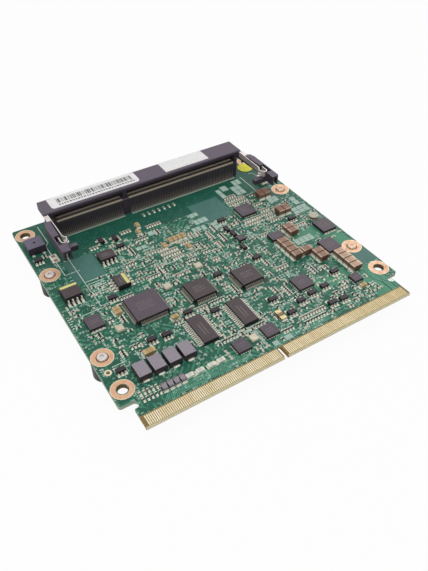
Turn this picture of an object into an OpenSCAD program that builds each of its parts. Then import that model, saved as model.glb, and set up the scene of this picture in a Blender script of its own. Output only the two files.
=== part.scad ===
// Computer module card: a green board with a card edge tongue at the front and
// a raised memory socket at the back, standing on four black posts.
// Lengths are millimetres. X runs along the tongue, Y from the tongue to the
// socket and Z up. Y positions in this file are counted from the tongue's front edge.

/* [Board] */
// Width of the board over its ears
board_w = 88; // [86:0.5:100]
// Depth of the board from the tongue to the back edge
board_d = 85; // [84:0.5:96]
// Thickness of the board
board_t = 1.2; // [0.8:0.1:2]
// Radius of the board's outer corners
corner_r = 0.7; // [0.2:0.1:1.5]
// Width of the tongue that enters the edge connector
tongue_w = 82; // [81:0.1:83]
// Distance from the tongue's edge to the front of the ears
ear_y = 8.2; // [7.6:0.1:9]
// Width of the rounded relief between tongue and ear
relief_w = 2.2; // [1.4:0.1:3]
// Depth of the relief behind the tongue's side
relief_in = 1.5; // [1.2:0.1:2]
// Distance of the coding notch from the centre line, to the left
key_off = 1.8; // [1:0.1:4]
// Width of the coding notch
key_w = 1.2; // [0.8:0.1:2.4]
// Depth of the coding notch
key_depth = 4; // [3:0.1:5]
// Bevel on the tongue's front edge
bevel = 0.25; // [0.1:0.05:0.4]

/* [Holes and rings] */
// Distance of every hole's centre from the board's side
hole_inset = 3; // [3:0.1:5]
// Radius of the four mounting holes
hole_r = 1.35; // [1:0.05:1.6]
// Front mounting holes from the tongue's edge
hole_front = 12.5; // [11.5:0.1:14]
// Back mounting holes from the back edge
hole_back = 3.9; // [3.5:0.1:4.5]
// Radius of the copper ring round each hole
ring_r = 3; // [2.6:0.1:3.2]
// Bare laminate between a mounting hole and its copper ring
ring_gap = 0.25; // [0.2:0.05:0.5]
// Thickness of copper rings and gold fingers on the board
pad_t = 0.06; // [0.03:0.01:0.12]
// Radius of the small plated tooling hole
tool_r = 0.5; // [0.3:0.05:0.7]
// Tooling hole from the board's left side
tool_inset = 2.2; // [2:0.1:3]
// Tooling hole from the tongue's edge
tool_y = 18.8; // [18:0.1:19]

/* [Card edge fingers] */
// Distance from one finger to the next
finger_pitch = 0.5; // [0.4:0.05:0.8]
// Width of a finger
finger_w = 0.34; // [0.2:0.02:0.38]
// Length of a finger
finger_len = 2.9; // [2:0.1:3.6]
// Bare strip between the outer fingers and the tongue's side
finger_margin = 0.9; // [0.6:0.1:2]
// Clear space between the fingers and the coding notch
finger_key_gap = 0.2; // [0.2:0.05:0.8]

/* [Posts] */
// Height of the posts under the board
post_h = 5; // [4:0.1:8]
// Outer radius of a post
post_r = 3.1; // [2.8:0.1:3.4]
// Radius of the tapped hole in a post's foot
post_bore_r = 1.05; // [0.8:0.05:1.3]
// Depth of the tapped hole
post_bore_d = 3; // [2:0.1:3.2]
// Front pair of posts from the tongue's edge
post_front = 24; // [23:0.1:25]
// Back pair of posts from the back edge
post_rear = 25; // [24:0.1:27]
// Radius of the bright stud that holds a post
stud_r = 1.45; // [1.1:0.05:1.7]
// Height of the stud's dome above the board
stud_proud = 0.55; // [0.3:0.05:0.9]
// Depth of the stud's seat in the post
stud_seat = 1.5; // [1:0.1:1.7]
// Radius of the dimple in a stud's top
stud_dimple_r = 0.55; // [0.3:0.05:0.7]
// Depth of the dimple
stud_dimple_d = 0.25; // [0.1:0.05:0.4]
// Clearance round a stud in the board
stud_gap = 0.18; // [0.1:0.02:0.3]

/* [Memory socket] */
// Width of the socket's top
sock_w = 69.8; // [69.4:0.1:72]
// Depth of the socket's top
sock_d = 7.1; // [6.8:0.1:7.6]
// Height of the socket above the board
sock_h = 9.2; // [8.8:0.1:11]
// Distance from the socket's back to the board's back edge
sock_back = 2.3; // [2:0.1:4]
// Width of the lower housing between its ends
low_w = 66.4; // [66:0.1:67]
// Height of the slot's lower lip above the board
lip_z = 5.5; // [5.2:0.1:6]
// Height of the slot's mouth
slot_h = 2.5; // [2.3:0.1:2.7]
// Width of the slot between the end walls
slot_w = 64.8; // [64.4:0.1:65.2]
// Depth of the slot behind the socket's front
slot_d = 4.9; // [4.4:0.1:5.4]
// Height of the overhanging ends above the board
over_z = 6.7; // [6.4:0.1:7]
// Forward step of the lower front wall
wall_step = 0.3; // [0.1:0.05:0.5]
// Set-back of the lower rear wall
rear_step = 0.5; // [0.2:0.05:0.8]
// Distance from one contact to the next
contact_pitch = 0.6; // [0.5:0.02:0.62]
// Width of a contact
contact_w = 0.24; // [0.16:0.02:0.3]
// Thickness of a contact's strip
contact_t = 0.15; // [0.1:0.01:0.2]
// Contacts left of the coding rib
contacts_left = 36; // [30:1:36]
// Contacts right of the coding rib
contacts_right = 66; // [50:1:66]
// Length of a contact's foot on the board
contact_foot = 1.25; // [0.9:0.05:1.3]
// Width of the coding rib
rib_w = 1.5; // [1.2:0.1:1.9]
// Radius of the two location pegs
peg_r = 0.8; // [0.5:0.05:1]

/* [Socket arms and latches] */
// Outer face of an arm from the centre line
arm_out = 36.9; // [36.7:0.1:38]
// Length of an arm in front of the socket
arm_len = 19.2; // [18.8:0.1:22]
// Underside of an arm above the board
arm_z = 5.9; // [5.6:0.1:6]
// Top of an arm above the board
arm_top = 9; // [8.8:0.1:9.1]
// Depth of the block at an arm's front end
block_d = 3.6; // [3:0.1:4]
// Length of the pocket that the latch head moves in
pocket_len = 4.4; // [4.2:0.1:5]
// Outer wall beside the pocket
pocket_wall = 0.4; // [0.3:0.05:0.6]
// Inner end of the module rest from the centre line
rest_in = 31; // [30.5:0.1:32.5]
// Depth of the module rest
rest_d = 1.6; // [1.2:0.1:2.4]
// Thickness of the module rest
rest_t = 1.6; // [1:0.1:2]
// Thickness of the latch's sheet metal
latch_t = 0.25; // [0.15:0.01:0.28]
// Middle of the latch's strip from the centre line
latch_x = 34.2; // [34.1:0.02:34.24]
// Height of the latch's strip
latch_h = 1.9; // [1.4:0.1:2]
// Clearance round a latch
latch_gap = 0.1; // [0.06:0.01:0.15]

/* [Labels] */
// Width of the left label
label_l_w = 29.4; // [24:0.2:30]
// Width of the right label
label_r_w = 16.2; // [12:0.2:18]
// Depth of both labels
label_d = 5; // [4:0.1:6]
// Thickness of a label
label_t = 0.1; // [0.05:0.01:0.2]
// Radius of the inspection dot
dot_r = 2.75; // [2:0.05:3]
// Round film's distance in front of the rear holes
dot_off = 3.5; // [3:0.1:5]

/* [Large packages] */
// Side of the large quad package
quad_l = 9.5; // [9:0.1:9.8]
// Side of the two small quad packages
quad_s = 7; // [6.4:0.1:7.2]
// Height of a quad package
quad_h = 1.4; // [1:0.1:1.6]
// Leads on each side of the large quad package
quad_l_leads = 20; // [12:1:20]
// Leads on each side of a small quad package
quad_s_leads = 12; // [8:1:12]
// Lead pitch of the large quad package
quad_l_pitch = 0.4; // [0.36:0.01:0.44]
// Lead pitch of a small quad package
quad_s_pitch = 0.5; // [0.4:0.01:0.54]
// Reach of a quad lead outside the body
quad_reach = 1; // [0.8:0.05:1.1]
// Reach of the controller's leads
quad_l_reach = 0.75; // [0.6:0.05:0.9]
// Width of a two-row shrink package
shrink_w = 4.4; // [4:0.1:4.8]
// Length of a two-row shrink package
shrink_d = 9.7; // [9.4:0.1:10]
// Height of a two-row shrink package
shrink_h = 1; // [0.8:0.05:1.2]
// Leads on each side of a shrink package
shrink_leads = 14; // [10:1:14]
// Lead pitch of a shrink package
shrink_pitch = 0.65; // [0.5:0.01:0.68]
// Side of the wide flash package
flash_s = 5.25; // [5:0.05:5.4]
// Height of the wide flash package
flash_h = 1.9; // [1.6:0.05:2.1]
// Length of a narrow eight-lead package
small8_l = 4.9; // [4.7:0.05:5]
// Width of a narrow eight-lead package
small8_w = 3.9; // [3.7:0.05:4]
// Height of a narrow eight-lead package
small8_h = 1.5; // [1.3:0.05:1.7]
// Lead pitch of the eight-lead packages
eight_pitch = 1.27; // [1.1:0.01:1.3]
// Side of the largest leadless package
flat_xl = 5.5; // [5.2:0.1:5.6]
// Side of the large leadless package
flat_l = 5; // [4.6:0.1:5.2]
// Side of the two middle leadless packages
flat_m = 4; // [3.6:0.1:4.2]
// Side of the small leadless package
flat_s = 3; // [2.6:0.1:3.2]
// Side of the smallest leadless package
flat_xs = 2.4; // [2:0.1:2.6]
// Height of a leadless package
flat_h = 0.85; // [0.7:0.05:1]
// Pitch of the pads that show round a leadless package
flat_pitch = 0.65; // [0.5:0.05:0.8]
// Side length of a pad fillet
fillet_s = 0.3; // [0.2:0.02:0.32]
// Depth of a large power package
power_d = 5.8; // [5.4:0.1:6]
// Width of a large power package
power_w = 5; // [4.6:0.1:5.2]
// Depth of the left power package
power_left_d = 4.9; // [4.6:0.1:5.2]
// Width of the left power package
power_left_w = 4.3; // [4:0.1:4.6]
// Depth of the small power package
power_small_d = 3.4; // [3:0.1:3.6]
// Width of the small power package
power_small_w = 4.4; // [4:0.1:4.6]
// Length of a power package's lead
power_lead = 0.3; // [0.2:0.02:0.32]
// Height of a power package
power_h = 1; // [0.8:0.05:1.2]

/* [Small parts] */
// Width of a power inductor
coil_w = 3.6; // [3:0.1:3.8]
// Depth of a power inductor
coil_d = 4.9; // [4.4:0.1:5.2]
// Height of a power inductor
coil_h = 2; // [1.6:0.1:2.6]
// Distance from one power inductor to the next
coil_pitch = 4.13; // [4.05:0.01:4.2]
// Length of a bulk capacitor
bulk_l = 3.2; // [3:0.05:3.4]
// Width of a bulk capacitor
bulk_w = 2.04; // [1.8:0.02:2.08]
// Height of a bulk capacitor
bulk_h = 2; // [1.4:0.1:2.4]
// Share of a bulk capacitor's length that each metal end takes
bulk_share = 0.16; // [0.12:0.01:0.3]
// Distance from one bulk capacitor to the next
bulk_pitch = 2.32; // [2.28:0.01:2.36]
// Length of a tan capacitor
tan_l = 2; // [1.8:0.05:2.1]
// Width of a tan capacitor
tan_w = 1.25; // [1.1:0.05:1.3]
// Height of a tan capacitor
tan_h = 0.95; // [0.7:0.05:1.2]
// Length of a large tan capacitor
tan_big_l = 3.2; // [3:0.05:3.4]
// Width of a large tan capacitor
tan_big_w = 1.6; // [1.4:0.05:1.7]
// Length of a ferrite bead
bead_l = 2.1; // [1.9:0.05:2.2]
// Distance from one ferrite bead to the next
bead_pitch = 1.66; // [1.55:0.01:1.75]
// Height of a chip fuse
fuse_h = 0.6; // [0.5:0.05:0.8]
// Length of the wide-ended shunt
shunt_l = 3.5; // [3.2:0.1:3.6]
// Width of the wide-ended shunt
shunt_w = 1.7; // [1.5:0.05:1.8]
// Height of the wide-ended shunt
shunt_h = 0.7; // [0.5:0.05:0.9]
// Length of the line choke
choke_l = 3.4; // [3:0.1:3.6]
// Width of the line choke
choke_w = 2.3; // [2:0.1:2.5]
// Height of the line choke
choke_h = 1.8; // [1.4:0.1:2]
// Radius of the drum coil's flanges
drum_r = 1.55; // [1.3:0.05:1.6]
// Height of the drum coil
drum_h = 1.3; // [1:0.05:1.6]
// Thickness of the drum coil's flanges
drum_rim = 0.35; // [0.25:0.05:0.45]
// Length of a three-lead package
sot_l = 2.6; // [2.4:0.05:2.7]
// Width of a three-lead package
sot_w = 1.5; // [1.3:0.05:1.6]
// Height of a three-lead package
sot_h = 0.95; // [0.8:0.05:1.1]
// Lead pitch of a three-lead package
sot_pitch = 0.95; // [0.8:0.01:1]
// Reach of a three-lead package's leads
sot_reach = 0.55; // [0.4:0.05:0.6]
// Side of a crystal's case along X
crystal_w = 2.2; // [2:0.05:2.4]
// Side of a crystal's case along Y
crystal_d = 2.3; // [2.1:0.05:2.5]
// Height of a crystal's case
crystal_h = 0.5; // [0.4:0.05:0.7]
// Thickness of a crystal's lid
lid_t = 0.15; // [0.1:0.01:0.2]
// Rim round a crystal's lid
lid_rim = 0.18; // [0.12:0.01:0.25]
// Length of a small chip part
chip_l = 1; // [0.9:0.02:1.02]
// Width of a small chip part
chip_w = 0.5; // [0.4:0.02:0.54]
// Height of a small chip part
chip_h = 0.36; // [0.3:0.02:0.5]
// Share of a chip part's length taken by each metal end
end_share = 0.22; // [0.15:0.01:0.3]
// Side of the sounder
buzz_s = 5.3; // [5:0.1:5.5]
// Height of the sounder
buzz_h = 2.5; // [2:0.1:3]
// Radius of the sounder's hole
buzz_hole_r = 0.35; // [0.2:0.05:0.6]

/* [Underside] */
// Length of the processor package
cpu_l = 27; // [24:0.5:30]
// Width of the processor package
cpu_w = 25; // [22:0.5:27]
// Thickness of the processor package
cpu_t = 1; // [0.8:0.1:1.4]
// Length of the bare die
die_l = 13; // [9:0.5:16]
// Width of the bare die
die_w = 8; // [6:0.5:12]
// Thickness of the bare die
die_t = 0.8; // [0.5:0.1:1]

/* [Hidden] */
$fn = 48;
front = -board_d / 2;
pcb_bot = post_h;
pcb_top = post_h + board_t;
hole_x = board_w / 2 - hole_inset;
hole_back_y = board_d - hole_back;
post_back = board_d - post_rear;
stud_hole_r = stud_r + stud_gap;
relief_y = ear_y - relief_w;
sock_y = board_d - sock_back - sock_d;
slot_top = lip_z + slot_h;
wall_y = sock_y - wall_step;
rear_y = sock_y + sock_d - rear_step;
peg_y = sock_y + sock_d / 2;
peg_x = low_w / 2 - 2;
row_gap = 5 * contact_pitch;
row_len = (contacts_left + contacts_right - 2) * contact_pitch + row_gap;
row_left = -row_len / 2;
rib_x = row_left + (contacts_left - 1) * contact_pitch + row_gap / 2;
block_back = -arm_len + block_d;
pocket_back = block_back + pocket_len;
swing = 3;
tab_floor = arm_top - 0.45;
rest_top = arm_z + 0.3;
hinge_y = -0.25;
lead_t = 0.14;
body_z = pad_t + 0.02;
finger_n = floor((tongue_w / 2 - finger_margin) / finger_pitch);

// Footprint places: x from the centre line and y from the tongue's edge, given for
// the board size named here and spread with the board.
layout_w = 88;
layout_d = 85;
spread_x = board_w / layout_w;
spread_y = board_d / layout_d;
large_quad = [-23.7, 33.7];
small_quads = [[-8.2, 31.5], [6.1, 29.3]];
shrinks = [[-15.2, 18.6], [-3, 18.4]];
flash_at = [-38.9, 48.9];
small8s = [[-25.1, 45.9, 90], [-24.1, 58.2, 0]];
// x, y, width, depth
flats = [[-9.8, 8.5, flat_m, flat_m], [-0.7, 9, flat_m, flat_m], [17.7, 18.9, flat_l, flat_l],
         [23.6, 55.7, flat_xl, flat_xl], [32, 12.4, flat_s, flat_s],
         [14.4, 44.6, flat_xs, flat_xs]];
// x, y, width, depth
powers = [[35.1, 27.5, power_w, power_d], [40, 35.9, power_w, power_d],
          [23.9, 39.5, power_small_w, power_small_d], [-38, 35.5, power_left_w, power_left_d]];
// x, y, turn; the first stands beside the front left hole at any board size
hole_sot = [(2 - hole_x) / spread_x, (hole_front + 5.1) / spread_y, 0];
sots = [hole_sot, [-27.9, 22.4, 0], [-23.9, 21.9, 0], [-8.8, 22.6, 0], [-29.9, 41.6, 0],
        [-0.5, 34.3, 0], [12.7, 40.8, 90], [13.3, 34.6, 0], [13.2, 50.6, 90], [13.7, 47.7, 90],
        [14.2, 55.3, 0], [17.6, 14.2, 0], [22.3, 14.6, 0], [28.6, 17.8, 0], [33.9, 44.4, 0],
        [-22.3, 66, 90], [-18.2, 65, 90], [-18.4, 60.6, 0], [19.9, 8.3, 0], [23.6, 8, 0],
        [8.2, 11.2, 0], [6.8, 17.9, 0], [13.2, 13.4, 0], [-15.2, 25.9, 0], [-41.6, 67.2, 0]];
// x, y
crystals_at = [[-33.1, 30.4], [-14.9, 37.8], [-3.1, 40.8], [-5.5, 9.2]];
// x, y of the first, turn, count
bulks = [[34.9, 15.8, 0, 4], [23.7, 28.8, 0, 4], [29.4, 38.3, 0, 2], [29.7, 24.2, 0, 2],
         [32.5, 49, 90, 2], [32.3, 59.8, 90, 2], [27.3, 28.9, 0, 1]];
// x, y of the first, turn, count, pitch
tans = [[-4.45, 55, 90, 4, 1.53], [-7.1, 53.7, 90, 1, 1], [-0.9, 49.8, 90, 1, 1],
        [-9.5, 67.1, 90, 1, 1], [-10.65, 64, 90, 1, 1], [-31, 35.6, 0, 2, 1.4],
        [31.6, 9, 0, 1, 1], [-19, 26.2, 0, 1, 1]];
big_tans = [[-30.4, 19, 0]];
shunts = [[5.15, 11.95, 90]];
fuse_x = [-25.5, -22.6, -19.3, -16.6];
fuse_y = 7.45;
bead_at = [-32.4, 7.55];
coil_at = [-34.9, 14.2];
buzz_at = [-40.4, 73.3];
choke_at = [38.6, 67.4];
drum_at = [40.3, 41.4];
cpu_at = [-2, 48];
// x, y of the first, turn, count along the row, pitch
chip_caps = [[-38.1, 9, 90, 5, 1.1], [-12.6, 25.75, 90, 4, 0.95], [-9.8, 53.2, 90, 3, 0.86],
             [-9.6, 51.4, 90, 7, 0.86], [-9.6, 49.6, 90, 7, 0.86], [-7.6, 47.6, 90, 5, 0.8],
             [-9.5, 40.6, 90, 2, 0.85], [-7.3, 40.6, 90, 2, 0.85], [2.1, 41, 90, 3, 0.9],
             [-5.1, 71.4, 90, 7, 1.85], [20.4, 51.2, 90, 8, 0.9], [21, 49.4, 90, 6, 0.9],
             [28, 53.2, 90, 4, 0.95], [27.6, 51.2, 90, 4, 0.95], [27.6, 49.2, 90, 4, 0.95],
             [27.6, 47.2, 90, 4, 0.95], [21.2, 61.2, 90, 8, 0.95], [21.2, 63.2, 90, 8, 0.95],
             [21.8, 65.2, 90, 5, 0.95], [27.9, 57, 90, 4, 0.95], [20.6, 42.6, 90, 3, 0.95],
             [2.4, 53, 0, 3, 0.85], [4.6, 53, 0, 3, 0.85], [7.4, 49.4, 0, 5, 0.85],
             [7.6, 44.6, 0, 4, 0.85], [-12.6, 53.4, 90, 3, 0.95], [-13.9, 46.6, 90, 3, 0.95],
             [33.2, 40.9, 90, 4, 0.95], [15.2, 27.6, 90, 5, 0.95], [9.4, 8.4, 90, 9, 0.95],
             [-26.4, 64.4, 90, 3, 0.95], [-15.4, 66.6, 90, 4, 0.95], [-7.2, 65.2, 90, 6, 0.9],
             [25.7, 11.6, 90, 3, 0.95], [-2.4, 52.4, 90, 4, 0.9]];
chip_resistors_at = [[-38.1, 7.1, 90, 5, 1.1], [-8.2, 25.75, 90, 5, 0.95], [-28, 40.45, 90, 5, 0.85],
             [-13.6, 43.6, 0, 3, 0.85], [-12, 43.6, 0, 2, 0.85], [-17.4, 43.8, 90, 4, 0.9],
             [3.2, 36.6, 90, 1, 1], [5.6, 36.6, 90, 2, 1.4], [7.8, 40.6, 90, 1, 1],
             [-4, 44.6, 90, 3, 0.9], [1.4, 45.4, 90, 3, 0.9], [-30.9, 32.2, 0, 3, 0.9],
             [-34.4, 34.4, 90, 2, 0.9], [10.2, 46.6, 0, 5, 0.85], [10.2, 52.2, 0, 4, 0.85],
             [12.2, 30, 90, 1, 1], [14.6, 30.6, 0, 3, 0.85], [0.4, 26.2, 0, 4, 0.85],
             [24.2, 20.4, 0, 4, 0.85], [24.2, 17.4, 90, 1, 1], [12.6, 17.2, 0, 5, 0.85],
             [9.4, 6.4, 90, 8, 0.95], [28.6, 12.4, 0, 2, 0.85], [-12.6, 12.4, 90, 5, 0.95],
             [-3, 12.4, 90, 4, 0.95], [29.8, 62.4, 90, 2, 0.9], [-36, 21.4, 0, 3, 0.85],
             [-33.4, 23, 90, 3, 0.95], [-16.6, 55.6, 0, 4, 0.85], [-13.2, 60.8, 90, 5, 0.9],
             [-5.6, 60.6, 0, 3, 0.85], [-20.8, 52, 90, 4, 0.95], [9.8, 20, 0, 3, 0.85],
             [-13.9, 34.4, 0, 1, 1], [2.4, 7, 90, 4, 0.95], [-39.4, 68, 0, 2, 1]];
under_caps = [[-14, 25.6, 0, 6, 1.4], [-14, 63.2, 0, 5, 1.4], [14.6, 29, 0, 6, 1.4],
              [-28, 44, 90, 6, 1.4], [20, 44, 90, 6, 1.4]];

// Unit vector, left normal and the two sides of a bent strip of constant thickness
function unit(v) = v / norm(v);
function left_of(v) = [-v[1], v[0]];
function bend_point(p, i, off) =
    let (last = len(p) - 1)
    let (a = unit(i > 0 ? p[i] - p[i - 1] : p[1] - p[0]))
    let (b = unit(i < last ? p[i + 1] - p[i] : p[last] - p[last - 1]))
    let (m = unit(left_of(a) + left_of(b)))
    p[i] + m * off / (m * left_of(a));
function strip(p, t) =
    concat([for (i = [0:len(p) - 1]) bend_point(p, i, t / 2)],
           [for (i = [len(p) - 1:-1:0]) bend_point(p, i, -t / 2)]);

// Moves from the board's top or underside to the shared frame
module on_top() {
    translate([0, front, pcb_top])
        children();
}

module under() {
    translate([0, front, pcb_bot])
        mirror([0, 0, 1])
            children();
}

module at(p) {
    translate([p[0], p[1], 0])
        children();
}

// A footprint place from the tables, spread with the board
module placed(p, turn = 0) {
    translate([p[0] * spread_x, p[1] * spread_y, 0])
        rotate(turn)
            children();
}

// A row of chip parts lies side by side across their own length
module chip_rows(rows) {
    for (r = rows)
        for (i = [0:r[3] - 1])
            placed([r[0] + (r[2] == 90 ? i * r[4] : 0), r[1] + (r[2] == 90 ? 0 : i * r[4])], r[2])
                children();
}

// Ceramic middle of a chip part, and its two metal ends
module chip_middle(l, w, h, share = end_share) {
    mid = l * (1 - 2 * share);
    translate([-mid / 2, -w / 2, 0])
        cube([mid, w, h]);
}

module chip_ends(l, w, h, share = end_share) {
    e = l * share;
    for (s = [-1, 1])
        translate([s * (l - e) / 2 - e / 2, -w / 2, 0])
            cube([e, w, h]);
}

// Moulded package: widest at half height, with draft above and below
module draft_prism(a, b, z, h, d) {
    rotate([90, 0, 0])
        linear_extrude(height = b, center = true)
            polygon([[d - a / 2, z], [a / 2 - d, z], [a / 2, z + h / 2], [a / 2 - d, z + h],
                     [d - a / 2, z + h], [-a / 2, z + h / 2]]);
}

module moulded(w, d, h, z, draft, mark_r) {
    difference() {
        intersection() {
            draft_prism(w, d, z, h, draft);
            rotate(90)
                draft_prism(d, w, z, h, draft);
        }
        translate([-w / 2 + draft + mark_r * 2.2, -d / 2 + draft + mark_r * 2.2, z + h - 0.06])
            cylinder(r = mark_r, h = 1);
    }
}

// Bent lead that leaves a package at height z and ends in a flat foot
module bent_lead(z, reach, w, t) {
    rotate([90, 0, 0])
        linear_extrude(height = w, center = true)
            polygon(strip([[0, z], [reach * 0.32, z], [reach * 0.52, t / 2], [reach, t / 2]], t));
}

module lead_side(n, pitch, off, z, reach, w, t) {
    for (i = [0:n - 1])
        translate([off, (i - (n - 1) / 2) * pitch, 0])
            bent_lead(z, reach, w, t);
}

// Board outline with ears, tongue, reliefs and coding notch
module board_outline() {
    difference() {
        union() {
            translate([-tongue_w / 2, 0])
                square([tongue_w, board_d / 2]);
            translate([-board_w / 2, ear_y + corner_r])
                square([board_w, board_d - ear_y - 2 * corner_r]);
            translate([corner_r - board_w / 2, ear_y])
                square([board_w - 2 * corner_r, board_d - ear_y]);
            for (s = [-1, 1])
                for (y = [ear_y + corner_r, board_d - corner_r])
                    translate([s * (board_w / 2 - corner_r), y])
                        circle(r = corner_r);
        }
        for (s = [-1, 1]) {
            translate([s * (tongue_w / 2 - relief_in + relief_w / 2), relief_y + relief_w / 2])
                circle(r = relief_w / 2);
            translate([s > 0 ? tongue_w / 2 - relief_in + relief_w / 2 : -board_w, relief_y])
                square([board_w - tongue_w / 2 + relief_in - relief_w / 2, relief_w]);
        }
        translate([-key_off - key_w / 2, -1])
            square([key_w, key_depth - key_w / 2 + 1]);
        translate([-key_off, key_depth - key_w / 2])
            circle(r = key_w / 2);
        for (s = [-1, 1]) {
            for (y = [hole_front, hole_back_y])
                translate([s * hole_x, y])
                    circle(r = hole_r);
            for (y = [post_front, post_back])
                translate([s * hole_x, y])
                    circle(r = stud_hole_r);
            translate([s * peg_x, peg_y])
                circle(r = peg_r + stud_gap);
        }
        translate([tool_inset - board_w / 2, tool_y])
            circle(r = tool_r);
    }
}

module pcb() {
    color("#3f7663")
        translate([0, front, pcb_bot])
            difference() {
                linear_extrude(height = board_t)
                    board_outline();
                for (s = [0, 1])
                    translate([0, 0, s * board_t])
                        mirror([0, 0, s])
                            translate([-board_w / 2, 0, 0])
                                rotate([90, 0, 90])
                                    linear_extrude(height = board_w)
                                        polygon([[-1, -1], [bevel, -1], [bevel, 0], [0, bevel],
                                                 [-1, bevel]]);
            }
}

module ring(r_out, r_in) {
    difference() {
        cylinder(r = r_out, h = pad_t);
        translate([0, 0, -1])
            cylinder(r = r_in, h = pad_t + 2);
    }
}

module ground_rings() {
    color("#d8a883") {
        on_top() {
            for (s = [-1, 1]) {
                for (y = [hole_front, hole_back_y])
                    at([s * hole_x, y])
                        ring(ring_r, hole_r + ring_gap);
                for (y = [post_front, post_back])
                    at([s * hole_x, y])
                        ring(ring_r, stud_hole_r);
            }
            at([tool_inset - board_w / 2, tool_y])
                ring(tool_r * 1.9, tool_r);
        }
        under()
            for (s = [-1, 1])
                for (y = [hole_front, hole_back_y])
                    at([s * hole_x, y])
                        ring(ring_r, hole_r + ring_gap);
    }
}

module fingers() {
    keep = key_w / 2 + finger_key_gap + finger_w / 2;
    for (i = [-finger_n:finger_n])
        if (abs(i * finger_pitch + key_off) > keep)
            translate([i * finger_pitch - finger_w / 2, bevel + 0.05, 0])
                cube([finger_w, finger_len, pad_t]);
}

module edge_fingers_top() {
    color("#e6d7a4")
        on_top()
            fingers();
}

module edge_fingers_bottom() {
    color("#e6d7a4")
        under()
            fingers();
}

// Turned post with chamfered foot, tapped hole below and stud seat above
module posts() {
    seat = stud_r + 0.05;
    color("#201e21")
        translate([0, front, 0])
            for (s = [-1, 1])
                for (y = [post_front, post_back])
                    at([s * hole_x, y])
                        rotate_extrude()
                            polygon([[post_bore_r, 0.25], [post_bore_r + 0.25, 0], [post_r - 0.3, 0],
                                     [post_r, 0.3], [post_r, post_h - 0.3], [post_r - 0.3, post_h],
                                     [seat, post_h], [seat, post_h - stud_seat],
                                     [0, post_h - stud_seat], [0, post_bore_d],
                                     [post_bore_r, post_bore_d]]);
}

// Bright stud: its shank fills the post's seat and its dome shows inside the ring
module post_studs() {
    top = pcb_top + stud_proud;
    color("#cfc9c4")
        translate([0, front, 0])
            for (s = [-1, 1])
                for (y = [post_front, post_back])
                    at([s * hole_x, y])
                        rotate_extrude()
                            polygon([[0, post_h - stud_seat], [stud_r, post_h - stud_seat],
                                     [stud_r, top - stud_proud * 0.7], [stud_r * 0.92, top - stud_proud * 0.25],
                                     [stud_r * 0.78, top], [stud_dimple_r, top],
                                     [stud_dimple_r * 0.8, top - stud_dimple_d], [0, top - stud_dimple_d]]);
}

// Plan of the right arm, y counted from the socket's front face
module arm_plan() {
    relief = (-pocket_back) * tan(swing) + latch_t / 2 + latch_gap;
    inner = latch_x + latch_t / 2 + latch_gap;
    polygon([[inner, 0.8], [inner + 0.4, 0.8], [arm_out - 0.6, -3.4], [arm_out, -5.5],
             [arm_out, -arm_len + 0.3], [arm_out - 0.3, -arm_len], [inner, -arm_len],
             [inner, block_back], [latch_x + relief, pocket_back], [inner, -0.2]]);
}

module socket_arm() {
    difference() {
        union() {
            translate([0, 0, arm_z])
                linear_extrude(height = arm_top - arm_z)
                    arm_plan();
            translate([rest_in, pocket_back - rest_d - 1.9, rest_top - rest_t])
                cube([arm_out - 0.5 - rest_in, rest_d, rest_t]);
        }
        translate([latch_x - 1, block_back, arm_top - latch_h - latch_gap * 2])
            cube([arm_out - pocket_wall - latch_x + 1, pocket_len, latch_h + 1]);
        translate([latch_x - 1, -3.5, tab_floor])
            cube([4, 3.5, 1]);
        translate([latch_x + 0.8, -arm_len - 1, arm_z - 1])
            cube([1.2, 2.3, arm_top - arm_z + 0.3]);
    }
}

module memory_socket_body() {
    color("#3c353e")
        on_top()
            translate([0, sock_y, 0]) {
                difference() {
                    union() {
                        translate([-low_w / 2, -wall_step, 0])
                            cube([low_w, sock_d + wall_step - rear_step, over_z + 0.1]);
                        translate([-sock_w / 2, 0, over_z])
                            rotate([90, 0, 90])
                                linear_extrude(height = sock_w)
                                    polygon([[0, 0], [sock_d, 0], [sock_d, sock_h - over_z],
                                             [0.3, sock_h - over_z], [0, sock_h - over_z - 0.3]]);
                        for (s = [0, 1])
                            mirror([s, 0, 0])
                                socket_arm();
                    }
                    translate([-slot_w / 2, -2, lip_z])
                        cube([slot_w, slot_d + 2, slot_h]);
                }
                translate([rib_x - rib_w / 2, 0, lip_z - 0.1])
                    cube([rib_w, slot_d + 0.1, slot_h + 0.2]);
                difference() {
                    translate([rib_x - rib_w / 2 - 0.3, -wall_step - 0.4, 0])
                        cube([rib_w + 0.6, 0.5, lip_z]);
                    for (k = [1:3])
                        translate([rib_x - rib_w / 2 - 1, -wall_step - 1, lip_z - 0.9 * k])
                            cube([rib_w + 2, 0.85, 0.4]);
                }
                for (s = [-1, 1])
                    translate([s * peg_x, sock_d / 2, -board_t])
                        cylinder(r = peg_r, h = board_t + 0.1);
            }
}

// Contact places along the slot, with the gap at the coding rib
module contact_row() {
    for (i = [0:contacts_left - 1])
        translate([row_left + i * contact_pitch, 0, 0])
            children();
    for (i = [0:contacts_right - 1])
        translate([-row_left - i * contact_pitch, 0, 0])
            children();
}

module contact_strip(path) {
    rotate([90, 0, 90])
        linear_extrude(height = contact_w, center = true)
            polygon(strip(path, contact_t));
}

// Lower contacts: foot on the board, leg up the front wall, sprung tip over the lip
module memory_contacts_lower() {
    leg = wall_y - contact_t / 2 - 0.03;
    over = lip_z + contact_t / 2 + 0.03;
    color("#b9ab8d")
        on_top()
            contact_row()
                contact_strip([[leg - contact_foot, contact_t / 2], [leg - 0.35, contact_t / 2],
                               [leg, 0.45], [leg, over], [leg + 0.6, over],
                               [leg + 1.7, over + 0.42], [leg + 2.3, over + 0.2]]);
}

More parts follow.
